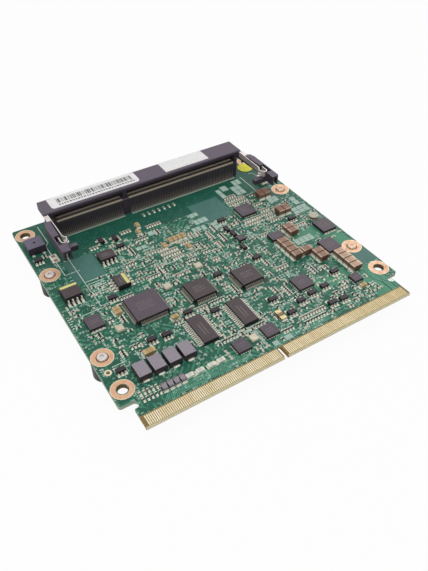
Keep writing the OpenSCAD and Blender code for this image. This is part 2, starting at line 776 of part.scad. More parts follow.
// Upper contacts: sprung tip under the slot's roof, and the tail behind the socket
module memory_contacts_upper() {
    roof = slot_top - contact_t / 2 - 0.03;
    tail = rear_y + contact_t / 2 + 0.03;
    color("#b9ab8d")
        on_top()
            contact_row() {
                contact_strip([[sock_y + slot_d - 0.02, roof], [sock_y + 3.4, roof],
                               [sock_y + 1.9, roof - 0.45], [sock_y + 1.3, roof - 0.2]]);
                contact_strip([[tail, lip_z], [tail, 0.45], [tail + 0.35, contact_t / 2],
                               [tail + contact_foot, contact_t / 2]]);
            }
}

// Right latch: strip along the arm, hook over the module, bend and finger tab
module latch() {
    top = arm_top - 0.05;
    head = pocket_back - 0.7;
    tab_x = latch_x + 1.25;
    translate([0, 0, top - latch_h])
        linear_extrude(height = latch_h)
            polygon(strip([[latch_x, hinge_y], [latch_x, head], [latch_x - 0.75, head - 1.1],
                           [latch_x - 0.7, head - 2], [latch_x + 0.1, block_back + 0.6],
                           [latch_x + 0.9, block_back + 0.6], [tab_x, block_back + 1.1],
                           [tab_x, head]], latch_t));
    translate([0, 0, top - latch_h * 0.75])
        linear_extrude(height = latch_t)
            polygon([[latch_x + 0.05, head - 0.3], [latch_x - 1.3, head - 1.3],
                     [latch_x - 1.1, head - 2.1], [latch_x, head - 2.7]]);
    translate([latch_x - latch_t / 2, -3.3, tab_floor + 0.05])
        cube([1.4, 3.3 + hinge_y, latch_t]);
}

module latch_right() {
    color("#d6d0cd")
        on_top()
            translate([0, sock_y, 0])
                latch();
}

module latch_left() {
    color("#d6d0cd")
        on_top()
            translate([0, sock_y, 0])
                mirror([1, 0, 0])
                    latch();
}

// Flat metal pieces that show in the recess at the front of each arm
module latch_anchors() {
    color("#c9c4c2")
        on_top()
            translate([0, sock_y, 0])
                for (s = [0, 1])
                    mirror([s, 0, 0])
                        translate([latch_x + 1.2, -arm_len + 0.8, arm_z])
                            cube([0.4, 0.5, arm_top - arm_z - 0.7]);
}

module barcode_label() {
    r = 1.2;
    color("#f2f2f0")
        on_top()
            translate([2.9 - sock_w / 2, sock_y + (sock_d - label_d) / 2 + 0.2, sock_h])
                linear_extrude(height = label_t) {
                    translate([r, 0])
                        square([label_l_w - 2 * r, label_d]);
                    translate([0, r])
                        square([label_l_w, label_d - 2 * r]);
                    for (x = [r, label_l_w - r])
                        for (y = [r, label_d - r])
                            translate([x, y])
                                circle(r = r);
                }
}

module blank_label() {
    color("#f2f2f0")
        on_top()
            translate([6.7, sock_y + (sock_d - label_d) / 2 + 0.2, sock_h])
                cube([label_r_w, label_d, label_t]);
}

// Round film between the socket's end and the board's side, over the ring's edge
module inspection_dot() {
    color("#e9e24c")
        on_top()
            translate([(low_w + board_w) / 4, hole_back_y - dot_off, pad_t])
                cylinder(r = dot_r, h = label_t);
}

module sounder_body() {
    color("#5f5763")
        on_top()
            placed(buzz_at)
                difference() {
                    moulded(buzz_s, buzz_s, buzz_h, body_z, 0.12, 0.01);
                    translate([0, 0, buzz_h / 2])
                        cylinder(r = buzz_hole_r, h = buzz_h);
                }
}

module sounder_leads() {
    color("#cfcbc4")
        on_top()
            placed(buzz_at)
                for (x = [-1.6, 1.6])
                    for (s = [-1, 1])
                        translate([x - 0.4, s > 0 ? buzz_s / 2 : -buzz_s / 2 - 0.8, 0])
                            cube([0.8, 0.8, 0.2]);
}

module coil_places() {
    for (i = [0:3])
        placed([coil_at[0] + i * coil_pitch, coil_at[1]])
            children();
}

module power_inductors() {
    color("#595160")
        on_top()
            coil_places()
                difference() {
                    moulded(coil_w, coil_d, coil_h, body_z, 0.18, 0.2);
                    for (s = [-1, 1])
                        translate([-coil_w / 4, s * coil_d / 2 - 0.35, -1])
                            cube([coil_w / 2, 0.7, 1.35]);
                }
}

module power_inductor_ends() {
    color("#cfcbc4")
        on_top()
            coil_places()
                for (s = [-1, 1])
                    translate([-coil_w / 4 + 0.1, s * (coil_d / 2 - 0.18) - 0.15, 0])
                        cube([coil_w / 2 - 0.2, 0.3, 0.25]);
}

module bead_places() {
    for (i = [0:3])
        placed([bead_at[0] + i * bead_pitch, bead_at[1]], 90)
            children();
}

module ferrite_beads() {
    color("#4c4651")
        on_top()
            bead_places()
                chip_middle(bead_l, tan_w, tan_h);
}

module ferrite_bead_ends() {
    color("#cfcbc4")
        on_top()
            bead_places()
                chip_ends(bead_l, tan_w, tan_h);
}

module fuse_places() {
    for (x = fuse_x)
        placed([x, fuse_y])
            children();
}

module chip_fuses() {
    color("#d9dcd4")
        on_top()
            fuse_places()
                chip_middle(tan_l, tan_w, fuse_h);
}

module chip_fuse_ends() {
    color("#cfcbc4")
        on_top()
            fuse_places()
                chip_ends(tan_l, tan_w, fuse_h);
}

module bulk_places() {
    chip_rows([for (b = bulks) concat(b, [bulk_pitch])])
        children();
}

module bulk_capacitors() {
    color("#b98f74")
        on_top()
            bulk_places()
                chip_middle(bulk_l, bulk_w, bulk_h, bulk_share);
}

module bulk_capacitor_ends() {
    color("#d8d2c4")
        on_top()
            bulk_places()
                chip_ends(bulk_l, bulk_w, bulk_h, bulk_share);
}

module tan_capacitors() {
    color("#c7a27c")
        on_top() {
            chip_rows(tans)
                chip_middle(tan_l, tan_w, tan_h);
            for (p = big_tans)
                placed(p, p[2])
                    chip_middle(tan_big_l, tan_big_w, tan_h * 1.3);
        }
}

module tan_capacitor_ends() {
    color("#d8d2c4")
        on_top() {
            chip_rows(tans)
                chip_ends(tan_l, tan_w, tan_h);
            for (p = big_tans)
                placed(p, p[2])
                    chip_ends(tan_big_l, tan_big_w, tan_h * 1.3);
        }
}

// Wide-ended shunt, with most of its length in the two metal ends
module end_shunt() {
    color("#8d7350")
        on_top()
            for (p = shunts)
                placed(p, p[2])
                    chip_middle(shunt_l, shunt_w, shunt_h, 0.33);
}

module end_shunt_ends() {
    color("#e2dcc4")
        on_top()
            for (p = shunts)
                placed(p, p[2])
                    chip_ends(shunt_l, shunt_w, shunt_h, 0.33);
}

// Drum coil: two round flanges on a waist, with the winding in the groove
module drum_coil_core() {
    waist = drum_r * 0.55;
    color("#c9c6bb")
        on_top()
            placed(drum_at)
                rotate_extrude()
                    polygon([[0, 0], [drum_r, 0], [drum_r, drum_rim], [waist, drum_rim],
                             [waist, drum_h - drum_rim], [drum_r, drum_h - drum_rim],
                             [drum_r, drum_h - 0.08], [drum_r - 0.08, drum_h], [0, drum_h]]);
}

module drum_coil_winding() {
    color("#4a342a")
        on_top()
            placed(drum_at)
                rotate_extrude()
                    translate([drum_r * 0.55, drum_rim])
                        square([drum_r * 0.35, drum_h - 2 * drum_rim]);
}

module line_choke() {
    color("#cdc6b2")
        on_top()
            placed(choke_at, 90)
                chip_middle(choke_l, choke_w, choke_h);
}

module line_choke_ends() {
    color("#d8d2c4")
        on_top()
            placed(choke_at, 90)
                chip_ends(choke_l, choke_w, choke_h);
}

module quad_leads_at(side, n, pitch, reach) {
    for (a = [0:90:270])
        rotate(a)
            lead_side(n, pitch, side / 2, quad_h / 2 + 0.08, reach, pitch * 0.45, lead_t);
}

module controller_body() {
    color("#4d4550")
        on_top()
            placed(large_quad)
                moulded(quad_l, quad_l, quad_h, 0.08, 0.12, 0.4);
}

module controller_leads() {
    color("#c8c3bb")
        on_top()
            placed(large_quad)
                quad_leads_at(quad_l, quad_l_leads, quad_l_pitch, quad_l_reach);
}

module quad_bodies() {
    color("#4d4550")
        on_top()
            for (p = small_quads)
                placed(p)
                    moulded(quad_s, quad_s, quad_h, 0.08, 0.12, 0.35);
}

module quad_leads() {
    color("#c8c3bb")
        on_top()
            for (p = small_quads)
                placed(p)
                    quad_leads_at(quad_s, quad_s_leads, quad_s_pitch, quad_reach);
}

module shrink_bodies() {
    color("#4a4a4c")
        on_top()
            for (p = shrinks)
                placed(p)
                    moulded(shrink_w, shrink_d, shrink_h, 0.08, 0.1, 0.3);
}

module shrink_leads_rows() {
    color("#c8c3bb")
        on_top()
            for (p = shrinks)
                placed(p)
                    for (a = [0, 180])
                        rotate(a)
                            lead_side(shrink_leads, shrink_pitch, shrink_w / 2,
                                      shrink_h / 2 + 0.08, 1, 0.28, lead_t);
}

module flash_body() {
    color("#463f49")
        on_top()
            placed(flash_at)
                moulded(flash_s, flash_s, flash_h, 0.08, 0.15, 0.3);
}

module flash_leads() {
    color("#d6d2c8")
        on_top()
            placed(flash_at)
                for (a = [90, 270])
                    rotate(a)
                        lead_side(4, eight_pitch, flash_s / 2, flash_h / 2 + 0.08, 1.32, 0.42, 0.2);
}

module eight_lead_bodies() {
    color("#463f49")
        on_top()
            for (p = small8s)
                placed(p, p[2])
                    moulded(small8_l, small8_w, small8_h, 0.08, 0.12, 0.25);
}

module eight_lead_leads() {
    color("#d6d2c8")
        on_top()
            for (p = small8s)
                placed(p, p[2])
                    for (a = [90, 270])
                        rotate(a)
                            lead_side(4, eight_pitch, small8_w / 2, small8_h / 2 + 0.08, 1.05, 0.42,
                                      0.2);
}

module leadless_chips() {
    color("#464049")
        on_top()
            for (p = flats)
                placed(p)
                    moulded(p[2], p[3], flat_h, body_z, 0.02, 0.18);
}

// Solder fillets that show at the sides of the leadless packages
module leadless_pads() {
    color("#d2cec5")
        on_top()
            for (p = flats) {
                n = floor(p[2] / flat_pitch) - 1;
                placed(p)
                    for (a = [0:90:270])
                        rotate(a)
                            for (i = [0:n - 1])
                                translate([(a % 180 == 0 ? p[2] : p[3]) / 2,
                                           (i - (n - 1) / 2) * flat_pitch - fillet_s / 2, 0])
                                    cube([fillet_s, fillet_s, fillet_s / 2]);
            }
}

module power_chips() {
    color("#463f49")
        on_top()
            for (p = powers)
                placed(p)
                    moulded(p[2], p[3], power_h, body_z, 0.06, 0.22);
}

module power_chip_leads() {
    color("#d6d2c8")
        on_top()
            for (p = powers)
                placed(p)
                    for (s = [-1, 1])
                        for (i = [-1.5:1:1.5])
                            translate([i * p[2] / 4.4 - power_lead * 0.8,
                                       s > 0 ? p[3] / 2 : -p[3] / 2 - power_lead, 0])
                                cube([power_lead * 1.6, power_lead, power_lead]);
}

module transistor_bodies() {
    color("#3d383f")
        on_top()
            for (p = sots)
                placed(p, p[2])
                    moulded(sot_l, sot_w, sot_h, body_z, 0.1, 0.01);
}

module transistor_leads() {
    color("#d2cec5")
        on_top()
            for (p = sots)
                placed(p, p[2]) {
                    rotate(270)
                        lead_side(3, sot_pitch, sot_w / 2, sot_h / 2, sot_reach, 0.36, 0.12);
                    rotate(90)
                        lead_side(2, 2 * sot_pitch, sot_w / 2, sot_h / 2, sot_reach, 0.36, 0.12);
                }
}

module crystal_cases() {
    color("#b9a98f")
        on_top()
            for (p = crystals_at)
                placed(p)
                    translate([-crystal_w / 2, -crystal_d / 2, 0])
                        cube([crystal_w, crystal_d, crystal_h]);
}

module crystal_lids() {
    color("#e6d8c2")
        on_top()
            for (p = crystals_at)
                placed(p)
                    translate([lid_rim - crystal_w / 2, lid_rim - crystal_d / 2, crystal_h])
                        cube([crystal_w - 2 * lid_rim, crystal_d - 2 * lid_rim, lid_t]);
}

module chip_capacitors() {
    color("#9c7a5e")
        on_top()
            chip_rows(chip_caps)
                chip_middle(chip_l, chip_w, chip_h);
}

module chip_capacitor_ends() {
    color("#dcdcd2")
        on_top()
            chip_rows(chip_caps)
                chip_ends(chip_l, chip_w, chip_h);
}

module chip_resistors() {
    color("#39363a")
        on_top()
            chip_rows(chip_resistors_at)
                chip_middle(chip_l, chip_w, chip_h);
}

module chip_resistor_ends() {
    color("#dcdcd2")
        on_top()
            chip_rows(chip_resistors_at)
                chip_ends(chip_l, chip_w, chip_h);
}

module processor_package() {
    color("#2f5d49")
        under()
            placed(cpu_at)
                translate([-cpu_l / 2, -cpu_w / 2, 0])
                    cube([cpu_l, cpu_w, cpu_t]);
}

module processor_die() {
    color("#7c8086")
        under()
            placed(cpu_at)
                translate([-die_l / 2, -die_w / 2, cpu_t])
                    cube([die_l, die_w, die_t]);
}

module underside_capacitors() {
    color("#b98f74")
        under()
            chip_rows(under_caps)
                chip_middle(tan_l, tan_w * 0.8, tan_h);
}

module underside_capacitor_ends() {
    color("#d8d2c4")
        under()
            chip_rows(under_caps)
                chip_ends(tan_l, tan_w * 0.8, tan_h);
}

pcb();
ground_rings();
edge_fingers_top();
edge_fingers_bottom();
posts();
post_studs();
memory_socket_body();
memory_contacts_lower();
memory_contacts_upper();
latch_left();
latch_right();
latch_anchors();
barcode_label();
blank_label();
inspection_dot();
sounder_body();
sounder_leads();
power_inductors();
power_inductor_ends();
ferrite_beads();
ferrite_bead_ends();
chip_fuses();
chip_fuse_ends();
bulk_capacitors();
bulk_capacitor_ends();
tan_capacitors();
tan_capacitor_ends();
end_shunt();
end_shunt_ends();
drum_coil_core();
drum_coil_winding();
line_choke();
line_choke_ends();
controller_body();
controller_leads();
quad_bodies();
quad_leads();
shrink_bodies();
shrink_leads_rows();
flash_body();
flash_leads();
eight_lead_bodies();
eight_lead_leads();
leadless_chips();
leadless_pads();
power_chips();
power_chip_leads();
transistor_bodies();
transistor_leads();
crystal_cases();
crystal_lids();
chip_capacitors();
chip_capacitor_ends();
chip_resistors();
chip_resistor_ends();
processor_package();
processor_die();
underside_capacitors();
underside_capacitor_ends();
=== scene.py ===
import math
import random
import bpy
from mathutils import Matrix, Vector


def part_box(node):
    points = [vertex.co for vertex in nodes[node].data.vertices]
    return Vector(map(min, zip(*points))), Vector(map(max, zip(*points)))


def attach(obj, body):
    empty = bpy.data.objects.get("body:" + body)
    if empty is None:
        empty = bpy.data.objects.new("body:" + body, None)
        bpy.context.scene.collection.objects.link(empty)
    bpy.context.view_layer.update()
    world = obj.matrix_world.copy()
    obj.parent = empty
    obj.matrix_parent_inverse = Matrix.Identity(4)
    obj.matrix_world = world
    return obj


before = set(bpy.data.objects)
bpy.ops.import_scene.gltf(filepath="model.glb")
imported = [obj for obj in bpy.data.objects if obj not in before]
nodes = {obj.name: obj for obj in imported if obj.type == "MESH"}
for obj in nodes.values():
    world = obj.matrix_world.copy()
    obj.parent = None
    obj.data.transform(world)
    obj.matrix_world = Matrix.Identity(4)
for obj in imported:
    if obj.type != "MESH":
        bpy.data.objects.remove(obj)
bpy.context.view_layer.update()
mm = 0.001
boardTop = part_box("pcb")[1].z / mm   # 6.2 mm over the posts' feet
dice = random.Random(11)
print("frame loaded:", len(nodes), "nodes")


def linear(hexColour):
    # sRGB hex to the linear values that sockets expect
    parts = [int(hexColour[i:i + 2], 16) / 255 for i in (1, 3, 5)]
    return [c / 12.92 if c <= 0.04045 else ((c + 0.055) / 1.055) ** 2.4 for c in parts] + [1.0]


def addNode(tree, kind, links=None, out=0, **settings):
    # links: input to a socket or a plain value; gives back the output with that number
    node = tree.nodes.new("ShaderNode" + kind)
    for key, value in settings.items():
        setattr(node, key, value)
    for key, value in (links or {}).items():
        if isinstance(value, bpy.types.NodeSocket):
            tree.links.new(value, node.inputs[key])
        else:
            node.inputs[key].default_value = value
    return node.outputs[out] if len(node.outputs) else node


def newTree(name):
    material = bpy.data.materials.new(name)
    material.use_nodes = True
    material.node_tree.nodes.clear()
    return material, material.node_tree


def dress(material, *names):
    for name in names:
        nodes[name].data.materials.clear()
        nodes[name].data.materials.append(material)


def millimetres(tree):
    # Object coordinates in millimetres, so that each pattern's scale is a real size
    place = addNode(tree, "TexCoord", out=3)
    return addNode(tree, "VectorMath", {0: place, 3: 1 / mm}, operation="SCALE")


# Ringed holes: the middles of those in the right half, which the left half mirrors, and their rings' reach
ringedHoles = {"column": 41.0, "rows": (-30.0, -18.5, 17.5, 38.6), "reach": 3.1}


def fromHole(tree, point):
    # distance in mm from the middle of the nearest ringed hole
    fold = addNode(tree, "VectorMath", {0: point}, operation="ABSOLUTE")
    foldX = addNode(tree, "SeparateXYZ", {0: fold})
    straight = addNode(tree, "SeparateXYZ", {0: point}, out=1)
    flatPoint = addNode(tree, "CombineXYZ", {0: foldX, 1: straight})
    apart = 1000.0
    for row in ringedHoles["rows"]:
        middle = (ringedHoles["column"], row, 0)
        far = addNode(tree, "VectorMath", {0: flatPoint, 1: middle}, out=1, operation="DISTANCE")
        apart = addNode(tree, "Math", {0: apart, 1: far}, operation="MINIMUM")
    return apart


# Green solder mask over glass laminate: a glossy coat that shows the copper runs below it as
# slightly lighter lines, tented vias as dots, and the sawn edge as pale glass. Sizes in mm.
# the dark tone is painted shade on the board under the socket
maskLook = {"mask": "#245d4b", "line": "#4a8f73", "via": "#9db8a4", "viaEye": "#17382f", "ink": "#cfe0d4",
            "dark": "#1d5849", "flat": "#49756d", "pour": "#468a6c", "edge": "#a9b7a2", "bevel": "#d6caa2",
            "tongue": "#8a7448", "nose": "#e6dfc0", "notch": "#a8874a", "bore": "#7d5b3e",
            "group": 5.0, "turns": 4.0, "linePitch": 0.62, "lineFade": (0.26, 0.36), "breaksPerMm": 0.45,
            "breakFade": (0.45, 0.55), "lineShow": 0.8, "quietShow": 0.15, "viaCell": 1.3,
            "viaSpread": 0.85, "viaShare": 0.36, "viaRim": (0.22, 0.16), "viaHole": (0.10, 0.07),
            "zoneFade": 0.15, "cloudsPerMm": 0.12, "cloudFade": (0.3, 0.7), "cloudShade": (0.86, 1.12),
            "inkCluster": 3.5, "inkShare": 0.5, "inkShow": 0.62, "word": (1.5, 0.72), "wordShare": 0.3,
            "wordHalf": 0.4, "mark": 0.22, "markShare": 0.55, "deepCell": 50.0,   # cells as deep as the part
            "ply": 0.2, "plyShade": (0.8, 1.08), "noseY": -41.9, "tongueY": -38.95, "tongueFade": 0.05,
            "boreReach": 2.0, "sideways": 0.7, "bevelFade": (0.1, 0.2), "topFade": (0.9, 0.97), "bumpStrength": 0.25,
            "bump": 0.03, "edgeRough": 0.75, "topRough": 0.38, "ior": 1.52, "specular": 0.22,
            "pours": [(33, 40, -39.5, -27), (27, 38, -9.5, -4.5), (37, 43, -16, -9), (20, 32, -29, -24)],
            "flats": [(-36, -27, 9.5, 20.5), (9, 20, 14.5, 25.5), (36.6, 44, -26.5, -15.2)],
            "socketShadeZones": [(-44, 44, 21.5, 43)]}


def maskMaterial():
    m = maskLook
    material, tree = newTree("solderMaskOnGlassLaminate")
    point = millimetres(tree)
    # groups of parallel copper runs, about 5 mm across, each group with its own direction
    group = addNode(tree, "TexVoronoi", {"Vector": point, "Scale": 1 / m["group"]}, out=1,
                    voronoi_dimensions="2D", distance="CHEBYCHEV")
    pick = addNode(tree, "SeparateColor", {0: group})
    turn = addNode(tree, "Math", {0: pick, 1: m["turns"]}, operation="MULTIPLY")
    turn = addNode(tree, "Math", {0: turn}, operation="FLOOR")
    turn = addNode(tree, "Math", {0: turn, 1: math.pi / m["turns"]}, operation="MULTIPLY")
    run = addNode(tree, "VectorRotate", {"Vector": point, "Angle": turn}, rotation_type="Z_AXIS")
    across = addNode(tree, "SeparateXYZ", {0: run})
    wave = addNode(tree, "Math", {0: across, 1: m["linePitch"]}, operation="PINGPONG")
    lines = addNode(tree, "MapRange", {0: wave, 1: m["lineFade"][0], 2: m["lineFade"][1]})
    broken = addNode(tree, "TexNoise", {"Vector": point, "Scale": m["breaksPerMm"], "Detail": 2.0})
    broken = addNode(tree, "MapRange", {0: broken, 1: m["breakFade"][0], 2: m["breakFade"][1]})
    lines = addNode(tree, "Math", {0: lines, 1: broken}, operation="MULTIPLY")
    # vias, about 0.4 mm across, in about a third of 1.3 mm cells
    cells = {"Vector": point, "Scale": 1 / m["viaCell"], "Randomness": m["viaSpread"]}
    viaFar = addNode(tree, "TexVoronoi", cells, voronoi_dimensions="2D")
    chance = addNode(tree, "SeparateColor", {0: viaFar.node.outputs["Color"]}, out=1)
    there = addNode(tree, "Math", {0: chance, 1: m["viaShare"]}, operation="LESS_THAN")
    ring = addNode(tree, "MapRange", {0: viaFar, 1: m["viaRim"][0], 2: m["viaRim"][1]})
    ring = addNode(tree, "Math", {0: ring, 1: there}, operation="MULTIPLY")
    eye = addNode(tree, "MapRange", {0: viaFar, 1: m["viaHole"][0], 2: m["viaHole"][1]})
    eye = addNode(tree, "Math", {0: eye, 1: there}, operation="MULTIPLY")
    # zones of the board: painted shade under the socket, plain fields, and copper pours
    base = linear(m["mask"])
    quiet = 0.0
    for boxes, tone in (("socketShadeZones", "dark"), ("flats", "flat"), ("pours", "pour")):
        inside = 0.0
        for x0, x1, y0, y1 in m[boxes]:
            mid, half = ((x0 + x1) / 2, (y0 + y1) / 2, 0), ((x1 - x0) / 2, (y1 - y0) / 2, 0)
            off = addNode(tree, "VectorMath", {0: point, 1: mid}, operation="SUBTRACT")
            off = addNode(tree, "VectorMath", {0: off}, operation="ABSOLUTE")
            off = addNode(tree, "VectorMath", {0: off, 1: half}, operation="SUBTRACT")
            past = addNode(tree, "SeparateXYZ", {0: off})
            past = addNode(tree, "Math", {0: past, 1: past.node.outputs["Y"]}, operation="MAXIMUM")
            patch = addNode(tree, "MapRange", {0: past, 1: m["zoneFade"], 2: -m["zoneFade"]})
            inside = addNode(tree, "Math", {0: inside, 1: patch}, operation="MAXIMUM")
        base = addNode(tree, "Mix", {0: inside, 6: base, 7: linear(m[tone])}, out=2, data_type="RGBA")
        quiet = addNode(tree, "Math", {0: inside, 1: quiet}, operation="MAXIMUM")
    cloud = addNode(tree, "TexNoise", {"Vector": point, "Scale": m["cloudsPerMm"], "Detail": 4.0})
    shade = addNode(tree, "MapRange", {0: cloud, 1: m["cloudFade"][0], 2: m["cloudFade"][1],
                                       3: m["cloudShade"][0], 4: m["cloudShade"][1]})
    colour = addNode(tree, "VectorMath", {0: base, 3: shade}, operation="SCALE")
    still = addNode(tree, "MapRange", {0: quiet, 3: m["lineShow"], 4: m["quietShow"]})
    lines = addNode(tree, "Math", {0: lines, 1: still}, operation="MULTIPLY")
    ring = addNode(tree, "Math", {0: ring, 1: still}, operation="MULTIPLY")
    eye = addNode(tree, "Math", {0: eye, 1: still}, operation="MULTIPLY")
    # greeked part legend: words about 1.5 by 0.7 mm in clusters, broken into marks of 0.22 mm
    busy = addNode(tree, "TexNoise", {"Vector": point, "Scale": 1 / m["inkCluster"], "Detail": 1.0})
    busy = addNode(tree, "Math", {0: busy, 1: m["inkShare"]}, operation="GREATER_THAN")
    markCell = (m["mark"], m["mark"], m["deepCell"])
    stroke = addNode(tree, "VectorMath", {0: point, 1: markCell}, operation="DIVIDE")
    stroke = addNode(tree, "VectorMath", {0: stroke}, operation="FLOOR")
    stroke = addNode(tree, "TexWhiteNoise", {"Vector": stroke}, noise_dimensions="3D")
    stroke = addNode(tree, "Math", {0: stroke, 1: m["markShare"]}, operation="LESS_THAN")
    longSide, shortSide = m["word"]
    printed = 0.0
    for wide, deep, seed in ((longSide, shortSide, 0.0), (shortSide, longSide, 7.3)):
        word = addNode(tree, "VectorMath", {0: point, 1: (wide, deep, m["deepCell"])}, operation="DIVIDE")
        word = addNode(tree, "VectorMath", {0: word, 1: (seed, seed, 0.5)}, operation="ADD")
        cell = addNode(tree, "VectorMath", {0: word}, operation="FLOOR")
        chosen = addNode(tree, "TexWhiteNoise", {"Vector": cell}, noise_dimensions="3D")
        chosen = addNode(tree, "Math", {0: chosen, 1: m["wordShare"]}, operation="LESS_THAN")
        part = addNode(tree, "VectorMath", {0: word}, operation="FRACTION")
        part = addNode(tree, "VectorMath", {0: part, 1: (0.5, 0.5, 0.5)}, operation="SUBTRACT")
        part = addNode(tree, "VectorMath", {0: part}, operation="ABSOLUTE")
        part = addNode(tree, "SeparateXYZ", {0: part})
        part = addNode(tree, "Math", {0: part, 1: part.node.outputs["Y"]}, operation="MAXIMUM")
        within = addNode(tree, "Math", {0: part, 1: m["wordHalf"]}, operation="LESS_THAN")
        marks = addNode(tree, "Math", {0: chosen, 1: within}, operation="MULTIPLY")
        printed = addNode(tree, "Math", {0: printed, 1: marks}, operation="MAXIMUM")
    loud = addNode(tree, "Math", {0: m["inkShow"], 1: quiet}, operation="SUBTRACT", use_clamp=True)
    for share in (stroke, busy, loud):
        printed = addNode(tree, "Math", {0: printed, 1: share}, operation="MULTIPLY")
    # bare brown laminate between the card edge fingers
    behind = addNode(tree, "SeparateXYZ", {0: point}, out=1)
    height = behind.node.outputs["Z"]
    bare = addNode(tree, "MapRange", {0: behind, 1: m["tongueY"] + m["tongueFade"],
                                      2: m["tongueY"] - m["tongueFade"]})
    for share, tone in ((lines, "line"), (ring, "via"), (eye, "viaEye"), (printed, "ink"), (bare, "tongue")):
        colour = addNode(tree, "Mix", {0: share, 6: colour, 7: linear(m[tone])}, out=2, data_type="RGBA")
    # sawn edge with the glass plies, brown in the notch and the holes
    ply = addNode(tree, "Math", {0: height, 1: m["ply"]}, operation="PINGPONG")
    ply = addNode(tree, "MapRange", {0: ply, 1: 0.0, 2: m["ply"], 3: m["plyShade"][0], 4: m["plyShade"][1]})
    normal = addNode(tree, "NewGeometry", out=1)
    normal = addNode(tree, "VectorMath", {0: normal}, operation="ABSOLUTE")
    facing = addNode(tree, "SeparateXYZ", {0: normal})
    level = facing.node.outputs["Z"]
    facing = addNode(tree, "Math", {0: facing, 1: m["sideways"]}, operation="GREATER_THAN")
    facing = addNode(tree, "Math", {0: facing, 1: bare}, operation="MULTIPLY")
    nose = addNode(tree, "MapRange", {0: behind, 1: m["tongueY"], 2: m["noseY"]})
    bore = addNode(tree, "Math", {0: fromHole(tree, point), 1: m["boreReach"]}, operation="LESS_THAN")
    edge = linear(m["edge"])
    for share, tone in ((nose, "nose"), (facing, "notch"), (bore, "bore")):
        edge = addNode(tree, "Mix", {0: share, 6: edge, 7: linear(m[tone])}, out=2, data_type="RGBA")
    edge = addNode(tree, "VectorMath", {0: edge, 3: ply}, operation="SCALE")
    slope = addNode(tree, "MapRange", {0: level, 1: m["bevelFade"][0], 2: m["bevelFade"][1]})
    flatTop = addNode(tree, "MapRange", {0: level, 1: m["topFade"][0], 2: m["topFade"][1]})
    wall = addNode(tree, "Mix", {0: slope, 6: edge, 7: linear(m["bevel"])}, out=2, data_type="RGBA")
    colour = addNode(tree, "Mix", {0: flatTop, 6: wall, 7: colour}, out=2, data_type="RGBA")
    relief = addNode(tree, "Math", {0: lines, 1: ring}, operation="ADD")
    bump = addNode(tree, "Bump", {"Strength": m["bumpStrength"], "Distance": m["bump"] * mm,
                                  "Height": relief})
    rough = addNode(tree, "MapRange", {0: flatTop, 3: m["edgeRough"], 4: m["topRough"]})
    shader = addNode(tree, "BsdfPrincipled", {"Base Color": colour, "Roughness": rough, "Normal": bump,
                                              "IOR": m["ior"], "Specular IOR Level": m["specular"]})
    addNode(tree, "OutputMaterial", {"Surface": shader})
    return material


dress(maskMaterial(), "pcb")

# Bare copper land: warm pink with browner stains and a paler tinned rim, brushed a little round the screw
copperLook = {"land": "#dfb492", "pale": "#e8d2b6", "stain": "#c99a76", "rim": (2.74, 2.86),
              "stainsPerMm": 0.9, "stainFade": (0.4, 0.75), "brush": 0.12, "bumpStrength": 0.15, "bump": 0.02,
              "rough": (0.34, 0.5), "metallic": 0.35}


def copperMaterial():
    c = copperLook
    material, tree = newTree("bareCopperLand")
    point = millimetres(tree)
    apart = fromHole(tree, point)
    rim = addNode(tree, "MapRange", {0: apart, 1: c["rim"][0], 2: c["rim"][1]})
    stain = addNode(tree, "TexNoise", {"Vector": point, "Scale": c["stainsPerMm"], "Detail": 5.0})
    stain = addNode(tree, "MapRange", {0: stain, 1: c["stainFade"][0], 2: c["stainFade"][1]})
    colour = linear(c["land"])
    for share, tone in ((stain, "stain"), (rim, "pale")):
        colour = addNode(tree, "Mix", {0: share, 6: colour, 7: linear(c[tone])}, out=2, data_type="RGBA")
    rough = addNode(tree, "MapRange", {0: stain, 3: c["rough"][0], 4: c["rough"][1]})
    rings = addNode(tree, "Math", {0: apart, 1: c["brush"]}, operation="PINGPONG")
    bump = addNode(tree, "Bump", {"Strength": c["bumpStrength"], "Distance": c["bump"] * mm, "Height": rings})
    shader = addNode(tree, "BsdfPrincipled", {"Base Color": colour, "Roughness": rough,
                                              "Metallic": c["metallic"], "Normal": bump})
    addNode(tree, "OutputMaterial", {"Surface": shader})
    return material


dress(copperMaterial(), "ground_rings")


def tintAlong(tree, place, colour, bands):
    # each band: axis, the places in mm between which its tint comes in, tint
    for axis, fades, full, tint in bands:
        share = addNode(tree, "SeparateXYZ", {0: place}, out=axis)
        share = addNode(tree, "MapRange", {0: share, 1: fades, 2: full})
        colour = addNode(tree, "Mix", {0: share, 6: colour, 7: linear(tint)}, out=2, data_type="RGBA")
    return colour


# Plain finishes: two tones mixed by grain of a real size, with the grain in the roughness and bump too.
# topBands tint level faces before the walls get their own tone, mostly a painted shade, bands tint all faces.
grainLook = {"toneFade": (0.35, 0.65), "roughFade": (0.3, 0.7), "roughSpread": 0.08, "bumpStrength": 0.4,
             "levelFade": (0.6, 0.9), "ior": 1.5, "specular": 0.3}


